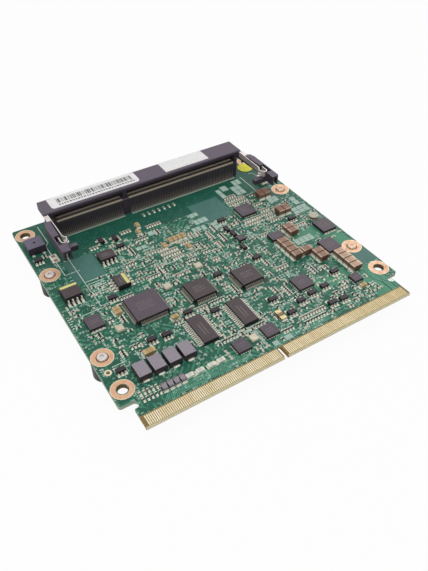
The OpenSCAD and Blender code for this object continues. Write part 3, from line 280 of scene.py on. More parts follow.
def grainMaterial(name, tone, second, grainMm, rough, metallic=0.0, wall=None, bumpMm=0.004,
                  stretch=(1, 1, 1), topBands=(), bands=()):
    g = grainLook
    material, tree = newTree(name)
    place = millimetres(tree)
    point = addNode(tree, "VectorMath", {0: place, 1: stretch}, operation="MULTIPLY")
    grain = addNode(tree, "TexNoise", {"Vector": point, "Scale": 1 / grainMm, "Detail": 4.0})
    share = addNode(tree, "MapRange", {0: grain, 1: g["toneFade"][0], 2: g["toneFade"][1]})
    colour = addNode(tree, "Mix", {0: share, 6: linear(tone), 7: linear(second)}, out=2, data_type="RGBA")
    colour = tintAlong(tree, place, colour, topBands)
    # side faces take the wall tone: painted shade on most parts, the pale sawn edge on the package laminate
    if wall:
        normal = addNode(tree, "NewGeometry", out=1)
        level = addNode(tree, "SeparateXYZ", {0: normal}, out=2)
        level = addNode(tree, "Math", {0: level}, operation="ABSOLUTE")
        level = addNode(tree, "MapRange", {0: level, 1: g["levelFade"][0], 2: g["levelFade"][1]})
        colour = addNode(tree, "Mix", {0: level, 6: linear(wall), 7: colour}, out=2, data_type="RGBA")
    colour = tintAlong(tree, place, colour, bands)
    shine = addNode(tree, "MapRange", {0: grain, 1: g["roughFade"][0], 2: g["roughFade"][1],
                                       3: rough - g["roughSpread"], 4: rough + g["roughSpread"]})
    bump = addNode(tree, "Bump", {"Strength": g["bumpStrength"], "Distance": bumpMm * mm, "Height": grain})
    links = {"Base Color": colour, "Roughness": shine, "Metallic": metallic, "Normal": bump}
    if not metallic:
        links.update({"IOR": g["ior"], "Specular IOR Level": g["specular"]})
    shader = addNode(tree, "BsdfPrincipled", links)
    addNode(tree, "OutputMaterial", {"Surface": shader})
    return material


# Hard gold over nickel: pale warm metal, streaked along each finger, browner to the right; sides a painted shade
# darker
dress(grainMaterial("hardGoldOnNickel", "#f0e5c4", "#dfcea6", grainMm=1.1, rough=0.4, metallic=0.35,
                    wall="#b89c62", stretch=(1, 0.15, 1), topBands=[(0, -20, 40, "#cdb98a")]),
      "edge_fingers_top", "edge_fingers_bottom")
# Black oxide on turned steel: matt black with a grey bloom
dress(grainMaterial("blackOxideSteel", "#17161a", "#2a282c", grainMm=0.6, rough=0.45, metallic=0.3,
                    bumpMm=0.01), "posts")
# Tinned steel studs, swaged over: bright, with a pinkish cast to the right; sides a painted shade darker
dress(grainMaterial("tinnedSwagedSteel", "#e6e0dc", "#cfc6c1", grainMm=0.5, rough=0.38, metallic=0.3,
                    wall="#b7a294", bumpMm=0.02, bands=[(0, -5, 5, "#dcbda2")]), "post_studs")
# Stamped spring steel: bright, with a fine rolled grain along the strip
dress(grainMaterial("stampedSpringSteel", "#e9e0dc", "#cfc5c1", grainMm=0.35, rough=0.3, metallic=0.6,
                    bumpMm=0.006, stretch=(1, 0.1, 1)), "latch_left", "latch_right", "latch_anchors")
# Liquid-crystal polymer with glass: matt dark grey, short fibres show as a fine fleck; nearly black walls as painted
# shade
dress(grainMaterial("glassFilledSocketPolymer", "#6b616f", "#5d5461", grainMm=0.3, rough=0.5, wall="#39323c",
                    bumpMm=0.012), "memory_socket_body")
# Tin over copper alloy contacts: bright feet, and two bright rows at the tips as painted highlight;
# the dull grey between them, darker up the slot and in a thin line, is painted shade
dress(grainMaterial("tinOnContactAlloy", "#7d746c", "#67605a", grainMm=0.5, rough=0.4, metallic=0.1,
                    bands=[(2, 6.9, 6.5, "#f6f0de"), (1, 31.8, 31.95, "#7d746c"), (2, 7.2, 9.0, "#4a4549"),
                           (2, 11.4, 11.8, "#fff1cf"), (1, 33.2, 33.3, "#332d2b"),
                           (1, 33.95, 34.05, "#fff1cf")]),
      "memory_contacts_lower", "memory_contacts_upper")
# Coated label paper: even white with a faint mottle
labelPaper = grainMaterial("coatedLabelPaper", "#fbfaf9", "#f1f0f0", grainMm=0.8, rough=0.55)
dress(labelPaper, "barcode_label", "blank_label")
# Polyester film: clear yellow with a low sheen
dress(grainMaterial("yellowPolyesterFilm", "#f4ec40", "#e6dc34", grainMm=1.2, rough=0.35), "inspection_dot")
# Epoxy moulding compound: purplish grey top, walls darker as painted shade
dress(grainMaterial("epoxyMouldingCompound", "#635961", "#554b53", grainMm=0.25, rough=0.46, wall="#2a2329",
                    bumpMm=0.01), "controller_body", "leadless_chips", "power_chips")
# The same compound in a browner mix: darker, with a warm cast; walls darker as painted shade
dress(grainMaterial("brownMouldingCompound", "#544a4c", "#483f41", grainMm=0.25, rough=0.46, wall="#241e22",
                    bumpMm=0.01), "quad_bodies", "shrink_bodies", "flash_body", "eight_lead_bodies")
# Black compound of the smallest packages: nearly black, a little shinier; walls darker as painted shade
dress(grainMaterial("blackMouldingCompound", "#3a343b", "#2d282e", grainMm=0.25, rough=0.42, wall="#1c181c",
                    bumpMm=0.01), "transistor_bodies")
# Moulded sounder case: violet grey on top, dark round the sides as painted shade
dress(grainMaterial("mouldedSounderCase", "#746f84", "#676275", grainMm=0.25, rough=0.5, wall="#2e2935",
                    bumpMm=0.01), "sounder_body")
# Pressed iron powder: pale grey grit on top, walls dark as painted shade
dress(grainMaterial("pressedIronPowder", "#a29aa3", "#908792", grainMm=0.2, rough=0.5, wall="#332c32",
                    bumpMm=0.015), "power_inductors", "ferrite_beads")
# Matt tin on copper leads and terminals: cream white where the solder wets it
tinNodes = [n for n in nodes if n.endswith(("_ends", "_leads", "_pads", "_rows"))]
dress(grainMaterial("mattTinSolder", "#ece7d8", "#d6d1c3", grainMm=0.3, rough=0.4, metallic=0.2,
                    bumpMm=0.006), *tinNodes)
# Fine-pitch leads are drawn thin, so they look duller than the wide ones
dress(grainMaterial("dullTinOnFineLeads", "#a9a397", "#8a857b", grainMm=0.3, rough=0.42, metallic=0.25,
                    bumpMm=0.006, bands=[(2, boardTop + 0.25, boardTop + 0.1, "#d9d4c4")]),
      "controller_leads", "quad_leads")
# Silver terminations that the furnace has browned, with cream solder only at the foot and sides darker as painted
# shade
dress(grainMaterial("brownedSilverTermination", "#bfa590", "#ae937e", grainMm=0.3, rough=0.45, metallic=0.1,
                    wall="#806654", bumpMm=0.006, topBands=[(0, 31, 38, "#ead2bb"), (1, 0, 7, "#9a7765")],
                    bands=[(2, boardTop + 0.5, boardTop + 0.25, "#e2ddca")]), "bulk_capacitor_ends")
# Terminations stained by flux: tan with a cream foot, sides a little darker as painted shade
dress(grainMaterial("fluxStainedTermination", "#cdb48a", "#b99f76", grainMm=0.3, rough=0.42, metallic=0.15,
                    wall="#b3a486", bumpMm=0.006, bands=[(2, boardTop + 0.45, boardTop + 0.2, "#efe9d6")]),
      "tan_capacitor_ends")
# Plated ends of the inductors and beads: as grey as the body, with a cream foot, sides darker as painted shade
dress(grainMaterial("greyPlatedTermination", "#7b747c", "#6b656d", grainMm=0.3, rough=0.45, metallic=0.1,
                    wall="#4a444b", bumpMm=0.006, bands=[(2, boardTop + 0.35, boardTop + 0.15, "#e2ddca")]),
      "ferrite_bead_ends", "power_inductor_ends")
# Fired barium titanate: dull tan, slightly mottled
dress(grainMaterial("bariumTitanateCeramic", "#c4a674", "#ae9062", grainMm=0.5, rough=0.5, bumpMm=0.008),
      "tan_capacitors", "underside_capacitors")
# Grey titanate of the small capacitors: dull, between stone and clay
greyCeramic = grainMaterial("greyTitanateCeramic", "#93887a", "#7a7064", grainMm=0.5, rough=0.5, bumpMm=0.008)
dress(greyCeramic, "chip_capacitors")
# Brown titanate of the large capacitors: reddish brown, paler to the right and darker to the rear; dark walls as
# painted shade
dress(grainMaterial("brownTitanateCeramic", "#a0816d", "#8d6e5b", grainMm=0.5, rough=0.5, wall="#5f463c",
                    bumpMm=0.008, topBands=[(0, 31, 38, "#e6c2a6"), (1, 0, 7, "#8a6353")]), "bulk_capacitors")
# Alumina: off-white with a soft gloss
dress(grainMaterial("whiteAluminaCeramic", "#dfe0d4", "#c9cbc0", grainMm=0.5, rough=0.4, bumpMm=0.006),
      "chip_fuses")
# Cream ceramic: dull and warm, like unglazed ware
creamCeramic = grainMaterial("creamFerriteCeramic", "#cdc9b8", "#b6b2a0", grainMm=0.5, rough=0.5,
                             bumpMm=0.008)
dress(creamCeramic, "line_choke", "crystal_cases", "drum_coil_core")
# Plated lids: pale warm metal with a soft shine
dress(grainMaterial("platedKovarLid", "#d0c8b2", "#c0b8a2", grainMm=0.7, rough=0.34, metallic=0.35),
      "crystal_lids")
# Coated resistance alloy: flat brown
dress(grainMaterial("coatedShuntAlloy", "#8d7350", "#765d3f", grainMm=0.5, rough=0.45, metallic=0.2,
                    bumpMm=0.006), "end_shunt")
# Copper terminals of the shunt: straw gold on top, dark at the sides as painted shade
dress(grainMaterial("copperShuntTerminal", "#dccb9c", "#c0aa74", grainMm=0.5, rough=0.32, metallic=0.4,
                    wall="#4a3b22", bumpMm=0.006), "end_shunt_ends")
# Enamelled wire: dark copper brown in fine level turns
dress(grainMaterial("enamelledCopperWire", "#5a3a28", "#3c261b", grainMm=0.2, rough=0.35, metallic=0.3,
                    bumpMm=0.02, stretch=(0.2, 0.2, 4)), "drum_coil_winding")
# Glass glaze over the resistors: smooth black
resistorGlaze = grainMaterial("blackResistorGlaze", "#1f1c20", "#2b282b", grainMm=0.4, rough=0.3)
dress(resistorGlaze, "chip_resistors")
# Package laminate below: even green with pale sawn walls
dress(grainMaterial("greenPackageLaminate", "#2f5d49", "#264e3d", grainMm=0.8, rough=0.4, wall="#8fa08c"),
      "processor_package")
# Polished silicon: a grey mirror
dress(grainMaterial("polishedDieSilicon", "#7c8086", "#6b6f76", grainMm=2.0, rough=0.12, metallic=0.4,
                    bumpMm=0.002), "processor_die")
print("materials dressed")


def selectFaces(piece, test):
    # picks faces by place or normal, ready for an edit-mode operator
    for group in (piece.data.vertices, piece.data.edges, piece.data.polygons):
        for item in group:
            item.select = False
    for face in piece.data.polygons:
        face.select = test(face)
    bpy.context.tool_settings.mesh_select_mode = (False, False, True)
    bpy.ops.object.mode_set(mode="EDIT")


def startBlock(name, middle):
    # a unit block at the given place
    bpy.ops.object.select_all(action="DESELECT")
    bpy.ops.mesh.primitive_cube_add(size=1, location=middle)
    block = bpy.context.object
    block.name = name
    bpy.ops.object.transform_apply(location=True, rotation=True, scale=True)
    return block


def layPlate():
    # thin plate with drawn-in top edges: ink, label print and solder land
    plate = startBlock("plateUnit", (0, 0, 0.5))
    selectFaces(plate, lambda face: face.normal.z > 0.9)
    bpy.ops.transform.resize(value=(0.9, 0.9, 1))
    bpy.ops.object.mode_set(mode="OBJECT")
    return plate


def pullFillet():
    # solder climbing a terminal: full height at x 0, sunk in the middle, feathered out at x 1
    fillet = startBlock("filletUnit", (0.5, 0, 0.5))
    selectFaces(fillet, lambda face: face.normal.z > 0.9)
    bpy.ops.mesh.subdivide(number_cuts=1)
    bpy.ops.object.mode_set(mode="OBJECT")
    selectFaces(fillet, lambda face: face.normal.x > 0.9)
    bpy.ops.transform.resize(value=(1, 0.8, 0.12), center_override=(1, 0, 0))
    bpy.ops.object.mode_set(mode="OBJECT")
    for point in fillet.data.vertices:
        if abs(point.co.x - 0.5) < 0.01 and point.co.z > 0.5:
            point.co.z = 0.36
    return fillet


def roundBlock():
    # small chip body with its top edges broken
    block = startBlock("chipUnit", (0, 0, 0.5))
    selectFaces(block, lambda face: face.normal.z > 0.9)
    bpy.ops.mesh.bevel(offset=0.08, segments=1, affect="EDGES")
    bpy.ops.object.mode_set(mode="OBJECT")
    return block


def spreadCopies(unit, name, places, material):
    # places: x, y, z of the base's middle, length, width, height in mm, turn in degrees
    copies = []
    for x, y, z, length, width, height, turn in places:
        one = bpy.data.objects.new(name, unit.data.copy())
        move = Matrix.Translation((x * mm, y * mm, z * mm))
        size = Matrix.Diagonal((length * mm, width * mm, height * mm, 1))
        one.data.transform(move @ Matrix.Rotation(math.radians(turn), 4, "Z") @ size)
        bpy.context.scene.collection.objects.link(one)
        copies.append(one)
    bpy.ops.object.select_all(action="DESELECT")
    for one in copies:
        one.select_set(True)
    bpy.context.view_layer.objects.active = copies[0]
    if len(copies) > 1:
        bpy.ops.object.join()
    piece = bpy.context.view_layer.objects.active
    piece.name = name
    piece.data.materials.clear()
    piece.data.materials.append(material)
    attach(piece, "module")


def drawStrokes(runs, width, height):
    # places of flat strokes on the board along each run of points
    strokes = []
    for run in runs:
        for (xa, ya), (xb, yb) in zip(run, run[1:]):
            length = math.hypot(xb - xa, yb - ya) + width
            turn = math.degrees(math.atan2(yb - ya, xb - xa))
            strokes.append(((xa + xb) / 2, (ya + yb) / 2, boardTop, length, width, height, turn))
    return strokes


def islandBoxes(name):
    # x0, y0, z0, x1, y1, z1 in mm of each separate solid in a CAD node
    mesh = nodes[name].data
    ids, parent = {}, []

    def head(i):
        while parent[i] != i:
            parent[i] = parent[parent[i]]
            i = parent[i]
        return i

    spots = []
    for point in mesh.vertices:
        key = tuple(round(c * 1e6) for c in point.co)   # whole micrometres, so that touching corners meet
        if key not in ids:
            ids[key] = len(parent)
            parent.append(len(parent))
        spots.append(ids[key])
    for face in mesh.polygons:
        first = head(spots[face.vertices[0]])
        for corner in face.vertices[1:]:
            parent[head(spots[corner])] = first
    boxes = {}
    for key, i in ids.items():
        box = boxes.setdefault(head(i), [math.inf] * 3 + [-math.inf] * 3)
        for k in range(3):
            box[k] = min(box[k], key[k] / 1000)
            box[k + 3] = max(box[k + 3], key[k] / 1000)
    return list(boxes.values())


def middleOf(box):
    return (box[0] + box[3]) / 2, (box[1] + box[4]) / 2


def sidesOf(box):
    return box[3] - box[0], box[4] - box[1]


def nearest(boxes, x, y):
    # the box whose middle is the shortest way from a place, along X and then Y
    return min(boxes, key=lambda box: abs(middleOf(box)[0] - x) + abs(middleOf(box)[1] - y))


plateUnit, filletUnit, chipUnit = layPlate(), pullFillet(), roundBlock()

# Solder lands and fillets under the terminals of the chip parts
solderWork = {"overhang": 0.12, "landHeight": 0.02, "toe": 0.3, "toeShare": 0.5, "filletWidth": 0.92,
              "climb": 0.6, "mostClimb": 0.7,
              "chips": ("chip_capacitors", "chip_resistors", "tan_capacitors", "bulk_capacitors",
                        "ferrite_beads", "chip_fuses", "line_choke", "end_shunt", "power_inductors")}
footprints = []   # what already stands on the board: x0, y0, x1, y1
soldered = []
lands, fillets = [], []
for name in solderWork["chips"]:
    endName = name.rstrip("s") + "_ends"
    soldered += [name, endName]
    middles, ends = islandBoxes(name), islandBoxes(endName)
    footprints += [(b[0], b[1], b[3], b[4]) for b in middles + ends]
    for b in ends:
        cx, cy = middleOf(b)
        nearX, nearY = middleOf(nearest(middles, cx, cy))
        dx, dy = cx - nearX, cy - nearY
        turn = (0 if dx > 0 else 180) if abs(dx) > abs(dy) else (90 if dy > 0 else 270)
        along, across = sidesOf(b) if turn % 180 == 0 else sidesOf(b)[::-1]
        toe = min(solderWork["toe"], solderWork["toeShare"] * across)
        ux, uy = round(math.cos(math.radians(turn))), round(math.sin(math.radians(turn)))
        lands.append((cx + ux * toe / 2, cy + uy * toe / 2, boardTop, along + toe + solderWork["overhang"],
                      across + solderWork["overhang"], solderWork["landHeight"], turn))
        fillets.append((cx + ux * along / 2, cy + uy * along / 2, boardTop, toe,
                        across * solderWork["filletWidth"],
                        min(solderWork["mostClimb"], (b[5] - b[2]) * solderWork["climb"]), turn))

# Solder lands under all but the finest leads, and painted shade on the mask round the leaded packages
leadLands = {"toe": 0.3, "side": 0.05, "wideSide": 0.18, "height": 0.03, "finest": 0.23, "wideFrom": 0.3,
             "dark": "#1b4238", "darker": "#15352d", "apron": 0.35, "apronHeight": 0.008}
aprons = {}
for name in tinNodes:
    if not name.endswith(("_leads", "_rows")) or name == "sounder_leads":
        continue
    kind = name.split("_lead")[0]
    bodyName = next((n for n in nodes if n.endswith(("_body", "_bodies")) and n.startswith(kind)), None)
    bodies = islandBoxes(bodyName) if bodyName and kind != "transistor" else []
    for b in islandBoxes(name):
        if bodies:
            body = nearest(bodies, *middleOf(b))
            reach = aprons.setdefault((name, *body), list(body))
            for k in (0, 1):
                reach[k], reach[k + 3] = min(reach[k], b[k]), max(reach[k + 3], b[k + 3])
        wide, deep = sidesOf(b)
        if min(wide, deep) < leadLands["finest"]:
            continue
        side = leadLands["wideSide"] if min(wide, deep) > leadLands["wideFrom"] else leadLands["side"]
        growX, growY = (leadLands["toe"], side) if wide > deep else (side, leadLands["toe"])
        lands.append((*middleOf(b), boardTop, wide + 2 * growX, deep + 2 * growY, leadLands["height"], 0))
# Mask in the shade of the leads: the board's green, deeper and even
darkMask = grainMaterial("shadedSolderMask", leadLands["dark"], leadLands["darker"], grainMm=0.6, rough=0.4)
spreadCopies(plateUnit, "leadShadeAprons", [(*middleOf(b), boardTop, sidesOf(b)[0] + leadLands["apron"],
                                        sidesOf(b)[1] + leadLands["apron"], leadLands["apronHeight"], 0)
                                       for b in aprons.values()], darkMask)
# Reflowed solder: creamy bright metal with greyer frosting
solder = grainMaterial("reflowedSolder", "#f6f3e4", "#d6d3c4", grainMm=0.35, rough=0.34, metallic=0.25,
                       bumpMm=0.01)
spreadCopies(plateUnit, "solderLands", lands, solder)
spreadCopies(filletUnit, "solderFillets", fillets, solder)
print("solder lands", len(lands))

# Pale printed blocks without a part, x0, x1, y0, y1 in mm, each cut into cells with a gap between them
paleBlocks = {"height": 0.02, "cell": (1.9, 2.2), "gap": 0.18, "tone": "#b9cec3", "second": "#a0bbae",
              "patches": [(36.8, 42.8, 3.2, 6.7), (40, 42, 7.5, 12), (33.5, 37.3, 12.7, 15.5),
                          (27.6, 34.3, -9.5, -6.7), (4, 7, 12.5, 14.7), (7.2, 8.8, 12, 14.5),
                          (10.5, 13, 10.5, 14), (-15, -11.5, 13.8, 15.5), (-8.5, -6.5, 18.3, 20.5),
                          (6.5, 11.3, 15.5, 18), (7, 10, 19.5, 21.5), (21.5, 23.3, 23, 28.5),
                          (23.7, 26.3, 26.5, 29.5), (26.8, 30.5, 22, 27.5), (29, 32.2, 27.5, 30.5),
                          (-2.4, -0.6, -38.4, -36.7), (1.3, 3.7, -38.4, -36.7)]}

# Further small chips in the free places of the crowded areas. A field is x0, x1, y0, y1 and the share that is
# filled, and the chips of one block of the board lie the same way. The kind none leaves two empty lands.
tinyChips = {"height": 0.34, "step": (1.55, 0.95), "rowStep": 1.0, "gap": 0.16, "block": (4.5, 4),
             "half": (0.5, 0.25), "body": (0.62, 0.5), "end": (0.22, 0.52), "endOver": 1.04, "endAway": 0.4,
             "land": (0.46, 0.6), "landAway": 1.3, "emptyLand": (0.5, 0.6), "landHeight": 0.02,
             "kinds": ("tan", "dark", "dark", "grey", "none", "none"),
             "tin": "#e8e4d5", "tinShade": "#cac6b8",
             "fields": [(-22, -2, 1, 21, 0.44), (-2, 14, 0, 14, 0.46), (14, 32, 0, 23, 0.46),
                        (-14, 36, -37.5, -27, 0.42), (-20, 30, -27, -17, 0.42), (-42, -28, -22, 8, 0.26),
                        (25, 43, -12, 15, 0.34), (-32, -22, 3, 22, 0.2), (-20, 20, -18, 2, 0.42)],
             "socket": [(-37.2, 13.5, -31, 43), (31, 13.5, 37.2, 43), (-36, 31, 36, 43)],   # arms and bay
             "offBoard": ("memory_contacts_lower", "memory_contacts_upper", "latch_left", "latch_right",
                          "ground_rings", "edge_fingers_top", "barcode_label", "blank_label")}
for name in nodes:
    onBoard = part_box(name)[0].z / mm > boardTop - 0.01 and name not in tinyChips["offBoard"]
    if onBoard and name not in soldered:
        footprints += [(b[0], b[1], b[3], b[4]) for b in islandBoxes(name)]
footprints += tinyChips["socket"]
reach = ringedHoles["reach"]
footprints += [(x - reach, y - reach, x + reach, y + reach)
               for x in (-ringedHoles["column"], ringedHoles["column"]) for y in ringedHoles["rows"]]
footprints += [(x0, y0, x1, y1) for x0, x1, y0, y1 in maskLook["flats"] + paleBlocks["patches"]]


def isFree(x, y, halfX, halfY):
    gap = tinyChips["gap"]
    return not any(x + halfX + gap > f[0] and x - halfX - gap < f[2] and y + halfY + gap > f[1]
                   and y - halfY - gap < f[3] for f in footprints)


t = tinyChips
chipBodies = {"tan": [], "dark": [], "grey": []}
chipEnds, chipLands, paleLands = [], [], []
for x0, x1, y0, y1, fill in t["fields"]:
    y = y0
    while y < y1:
        x = x0
        while x < x1:
            blockX, blockY = math.floor(x / t["block"][0]), math.floor(y / t["block"][1])
            upright = (blockX * 7 + blockY * 3) % 5 < 2
            turn = 90 if upright else 0
            halfX, halfY = t["half"][::-1] if upright else t["half"]
            if dice.random() < fill and isFree(x, y, halfX, halfY):
                kind = dice.choice(t["kinds"])
                footprints.append((x - halfX, y - halfY, x + halfX, y + halfY))
                for away in (-t["endAway"], t["endAway"]):
                    ox, oy = (0, away) if upright else (away, 0)
                    if kind == "none":
                        paleLands.append((x + ox, y + oy, boardTop, *t["emptyLand"], t["landHeight"], turn))
                        continue
                    chipEnds.append((x + ox, y + oy, boardTop, *t["end"], t["height"] * t["endOver"], turn))
                    ox, oy = ox * t["landAway"], oy * t["landAway"]
                    chipLands.append((x + ox, y + oy, boardTop, *t["land"], t["landHeight"], turn))
                if kind != "none":
                    chipBodies[kind].append((x, y, boardTop, *t["body"], t["height"], turn))
            x += t["step"][1] if upright else t["step"][0]
        y += t["rowStep"]
spreadCopies(chipUnit, "tinyTanChips", chipBodies["tan"], greyCeramic)
spreadCopies(chipUnit, "tinyDarkChips", chipBodies["dark"], resistorGlaze)
spreadCopies(chipUnit, "tinyGreyChips", chipBodies["grey"], creamCeramic)
# Tin on the smallest ends: cream, a little duller than the solder at their feet
endTin = grainMaterial("dullTinTermination", tinyChips["tin"], tinyChips["tinShade"], grainMm=0.3, rough=0.4,
                       metallic=0.2, bumpMm=0.006)
spreadCopies(chipUnit, "tinyChipEnds", chipEnds, endTin)
spreadCopies(plateUnit, "tinyChipLands", chipLands, solder)
print("tiny chips", sum(len(places) for places in chipBodies.values()))

# Board legend: outlines in pale ink, and blocks (x, y, width, rows) of dashes for words, in mm
legend = {"width": 0.22, "height": 0.015, "ink": "#dfe9e0", "shade": "#bfd2c4",
          "runs": [[(-33.8, -1.7), (-33.8, 22)], [(33.6, 21.5), (33.6, 31)], [(-36.9, 15), (-33, 15)],
                   [(-37.4, 15), (-37.4, 30.4), (-36.2, 31.9), (-36.2, 41)],
                   [(-33.8, 9.2), (-27.3, 9.2), (-27.3, 7)], [(-33.8, -1.7), (-30.6, -1.7)],
                   [(37.6, 31.4), (38.4, 31), (38.9, 30.2), (39, 29.2), (38.7, 28.5)],
                   [(-42.8, -6.5), (-39.3, -2.5), (-34, -2.5)],
                   [(-30.2, -11.4), (-30.2, -3.6), (-17.4, -3.6)], [(-19.4, -18.8), (-11, -18.8)],
                   [(-11.5, -29.7), (2.2, -29.7)],
                   [(-11.5, -30.15), (-2.9, -30.15)], [(-11.5, -30.6), (-2.9, -30.6)],
                   [(-3.6, -31.6), (-3.6, -37.4)], [(-4, -31.6), (-4, -37.4)],
                   [(-40, -22.6), (-36.8, -22.6)]],
          "blocks": [(-30.7, 8, 5, 3), (-31.2, 4.6, 4, 3), (-43, -1.2, 1.2, 6)],
          "row": 0.9, "tall": 0.32, "shortest": 0.25, "spread": 0.5, "gap": 0.22, "margin": 0.3}
strokes = drawStrokes(legend["runs"], legend["width"], legend["height"])
for x, y, wide, rows in legend["blocks"]:
    for row in range(rows):
        at = x - wide / 2
        while at < x + wide / 2 - legend["margin"]:
            dash = legend["shortest"] + legend["spread"] * dice.random()
            strokes.append((at + dash / 2, y - row * legend["row"], boardTop, dash, legend["tall"],
                            legend["height"], 0))
            at += dash + legend["gap"]
# Epoxy ink: chalky pale green-white, thin in places
ink = grainMaterial("epoxyLegendInk", legend["ink"], legend["shade"], grainMm=0.4, rough=0.6)
spreadCopies(plateUnit, "boardLegend", strokes, ink)

# Copper runs that fan out behind the card edge under the mask, a fan being its start and length along X,
# one more set that turns in at the right corner, and two dark gaps between pours
copperRuns = {"width": 0.17, "height": 0.006, "tone": "#6fb195", "second": "#579a80", "from": -38.8,
              "count": 7, "pitch": 0.4, "splay": 1.6, "climb": 3.0,
              "fans": [(-34.5, 6.5), (-27, 7), (-19.5, 6), (-3, 5), (8, 6)],
              "cornerX": 40.8, "cornerY": -33, "cornerTurn": 3.5, "gapWidth": 0.2,
              "gaps": [[(36.3, -27.5), (36.3, -33), (37.6, -35), (37.6, -38.8)],
                       [(38.3, -30), (38.3, -34.5), (39.6, -36.3), (39.6, -38.8)]]}
runs = []
low, bend = copperRuns["from"], copperRuns["cornerTurn"]
for i in range(copperRuns["count"]):
    step = i * copperRuns["pitch"]
    climb, splay, top = copperRuns["climb"] - step, copperRuns["splay"] * step, copperRuns["cornerY"] - step
    for start, length in copperRuns["fans"]:
        left = start + splay
        runs.append([(left, low), (left + climb, low + climb), (left + climb + length, low + climb)])
    right = copperRuns["cornerX"] - splay
    runs.append([(right, low), (right, top), (right - bend, top + bend)])
gaps = drawStrokes(copperRuns["gaps"], copperRuns["gapWidth"], copperRuns["height"])
spreadCopies(plateUnit, "maskGaps", gaps, darkMask)
# Copper under the mask: the same green, lighter and slightly raised
maskedCopper = grainMaterial("maskedCopperRun", copperRuns["tone"], copperRuns["second"], grainMm=0.8,
                             rough=0.4)
masked = drawStrokes(runs, copperRuns["width"], copperRuns["height"])
spreadCopies(plateUnit, "copperRuns", masked, maskedCopper)

# Cream land beside the left arm with two browned wells: x, y, width, depth in mm
creamPatch = {"plate": (-37.2, 23.8, 2.3, 4.0), "wells": [(-37.2, 24.9, 1.1, 1.2), (-37.2, 22.7, 1.1, 1.2)],
              "height": 0.03, "wellHeight": 0.01, "brown": "#a9836a", "shade": "#8f6c56"}
x, y, wide, deep = creamPatch["plate"]
spreadCopies(plateUnit, "creamPatch", [(x, y, boardTop, wide, deep, creamPatch["height"], 0)], solder)
# Copper that flux has browned: dull, with darker spots
wellBrown = grainMaterial("fluxedCopperWell", creamPatch["brown"], creamPatch["shade"], grainMm=0.4,
                          rough=0.4, metallic=0.1, bumpMm=0.01)
wells = [(x, y, boardTop + creamPatch["height"], wide, deep, creamPatch["wellHeight"], 0)
         for x, y, wide, deep in creamPatch["wells"]]
spreadCopies(plateUnit, "patchWells", wells, wellBrown)
for x0, x1, y0, y1 in paleBlocks["patches"]:
    columns = max(1, round((x1 - x0) / paleBlocks["cell"][0]))
    rows = max(1, round((y1 - y0) / paleBlocks["cell"][1]))
    wide, deep = (x1 - x0) / columns, (y1 - y0) / rows
    for i in range(columns):
        for j in range(rows):
            paleLands.append((x0 + (i + 0.5) * wide, y0 + (j + 0.5) * deep, boardTop,
                              wide - paleBlocks["gap"], deep - paleBlocks["gap"], paleBlocks["height"], 0))
# Thin ink fill: pale grey-green, matt
paleInk = grainMaterial("paleLegendFill", paleBlocks["tone"], paleBlocks["second"], grainMm=0.6, rough=0.6)
spreadCopies(plateUnit, "paleLands", paleLands, paleInk)
print("legend strokes", len(strokes), "pale lands", len(paleLands))

# Plain bars on the left label and a row of dashes before them; a row is low, high, widths, gaps
labelBars = {"from": -29.4, "to": -4.4, "height": 0.008, "ink": "#2c2a2c", "shade": "#4a484a",
             "rows": [(36.5, 38.9, (0.14, 0.14, 0.22, 0.34, 0.5), (0.2, 0.3, 0.42)),
                      (35.3, 35.9, (0.5, 0.7), (0.35,))]}
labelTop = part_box("barcode_label")[1].z / mm
bars = []
for low, high, widths, gaps in labelBars["rows"]:
    at = labelBars["from"]
    while at < labelBars["to"]:
        wide = dice.choice(widths)
        bars.append((at + wide / 2, (low + high) / 2, labelTop, wide, high - low, labelBars["height"], 0))
        at += wide + (dice.choice(gaps) if len(gaps) > 1 else gaps[0])
# Thermal print: flat soft black
barInk = grainMaterial("thermalPrintInk", labelBars["ink"], labelBars["shade"], grainMm=0.4, rough=0.6,
                       bumpMm=0.002)
spreadCopies(plateUnit, "labelBars", bars, barInk)

# Both labels run on to the rear edge of the socket's top
labelFolds = {"front": 38.2, "rear": 40.1, "height": 0.09}
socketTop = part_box("memory_socket_body")[1].z / mm
folds = []
for name in ("barcode_label", "blank_label"):
    low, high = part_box(name)
    folds.append(((low.x + high.x) / 2 / mm, (labelFolds["front"] + labelFolds["rear"]) / 2, socketTop,
                  (high.x - low.x) / mm, labelFolds["rear"] - labelFolds["front"], labelFolds["height"], 0))
spreadCopies(plateUnit, "labelFolds", folds, labelPaper)
print("label bars", len(bars))

# Paint strips on the flash package's rear end and on the eight-lead package nearest to a place
chipPaint = {"height": 0.012, "strip": 0.95, "inset": 0.22, "yellow": "#e9e59c", "shade": "#dcd67e",
             "nextTo": (-25.1, 3.4)}
flashBox = islandBoxes("flash_body")[0]
pairBox = nearest(islandBoxes("eight_lead_bodies"), *chipPaint["nextTo"])
inset, strip = chipPaint["inset"], chipPaint["strip"]
strips = [(middleOf(flashBox)[0], flashBox[4] - inset - strip / 2, flashBox[5],
           sidesOf(flashBox)[0] - 2 * inset, strip, chipPaint["height"], 0),
          (pairBox[3] - inset - strip / 2, middleOf(pairBox)[1], pairBox[5],
           strip, sidesOf(pairBox)[1] - 2 * inset, chipPaint["height"], 0)]
# Brushed inspection paint: pale yellow, uneven
yellowPaint = grainMaterial("yellowInspectionPaint", chipPaint["yellow"], chipPaint["shade"], grainMm=0.5,
                            rough=0.45, bumpMm=0.01)
spreadCopies(plateUnit, "paintStrips", strips, yellowPaint)

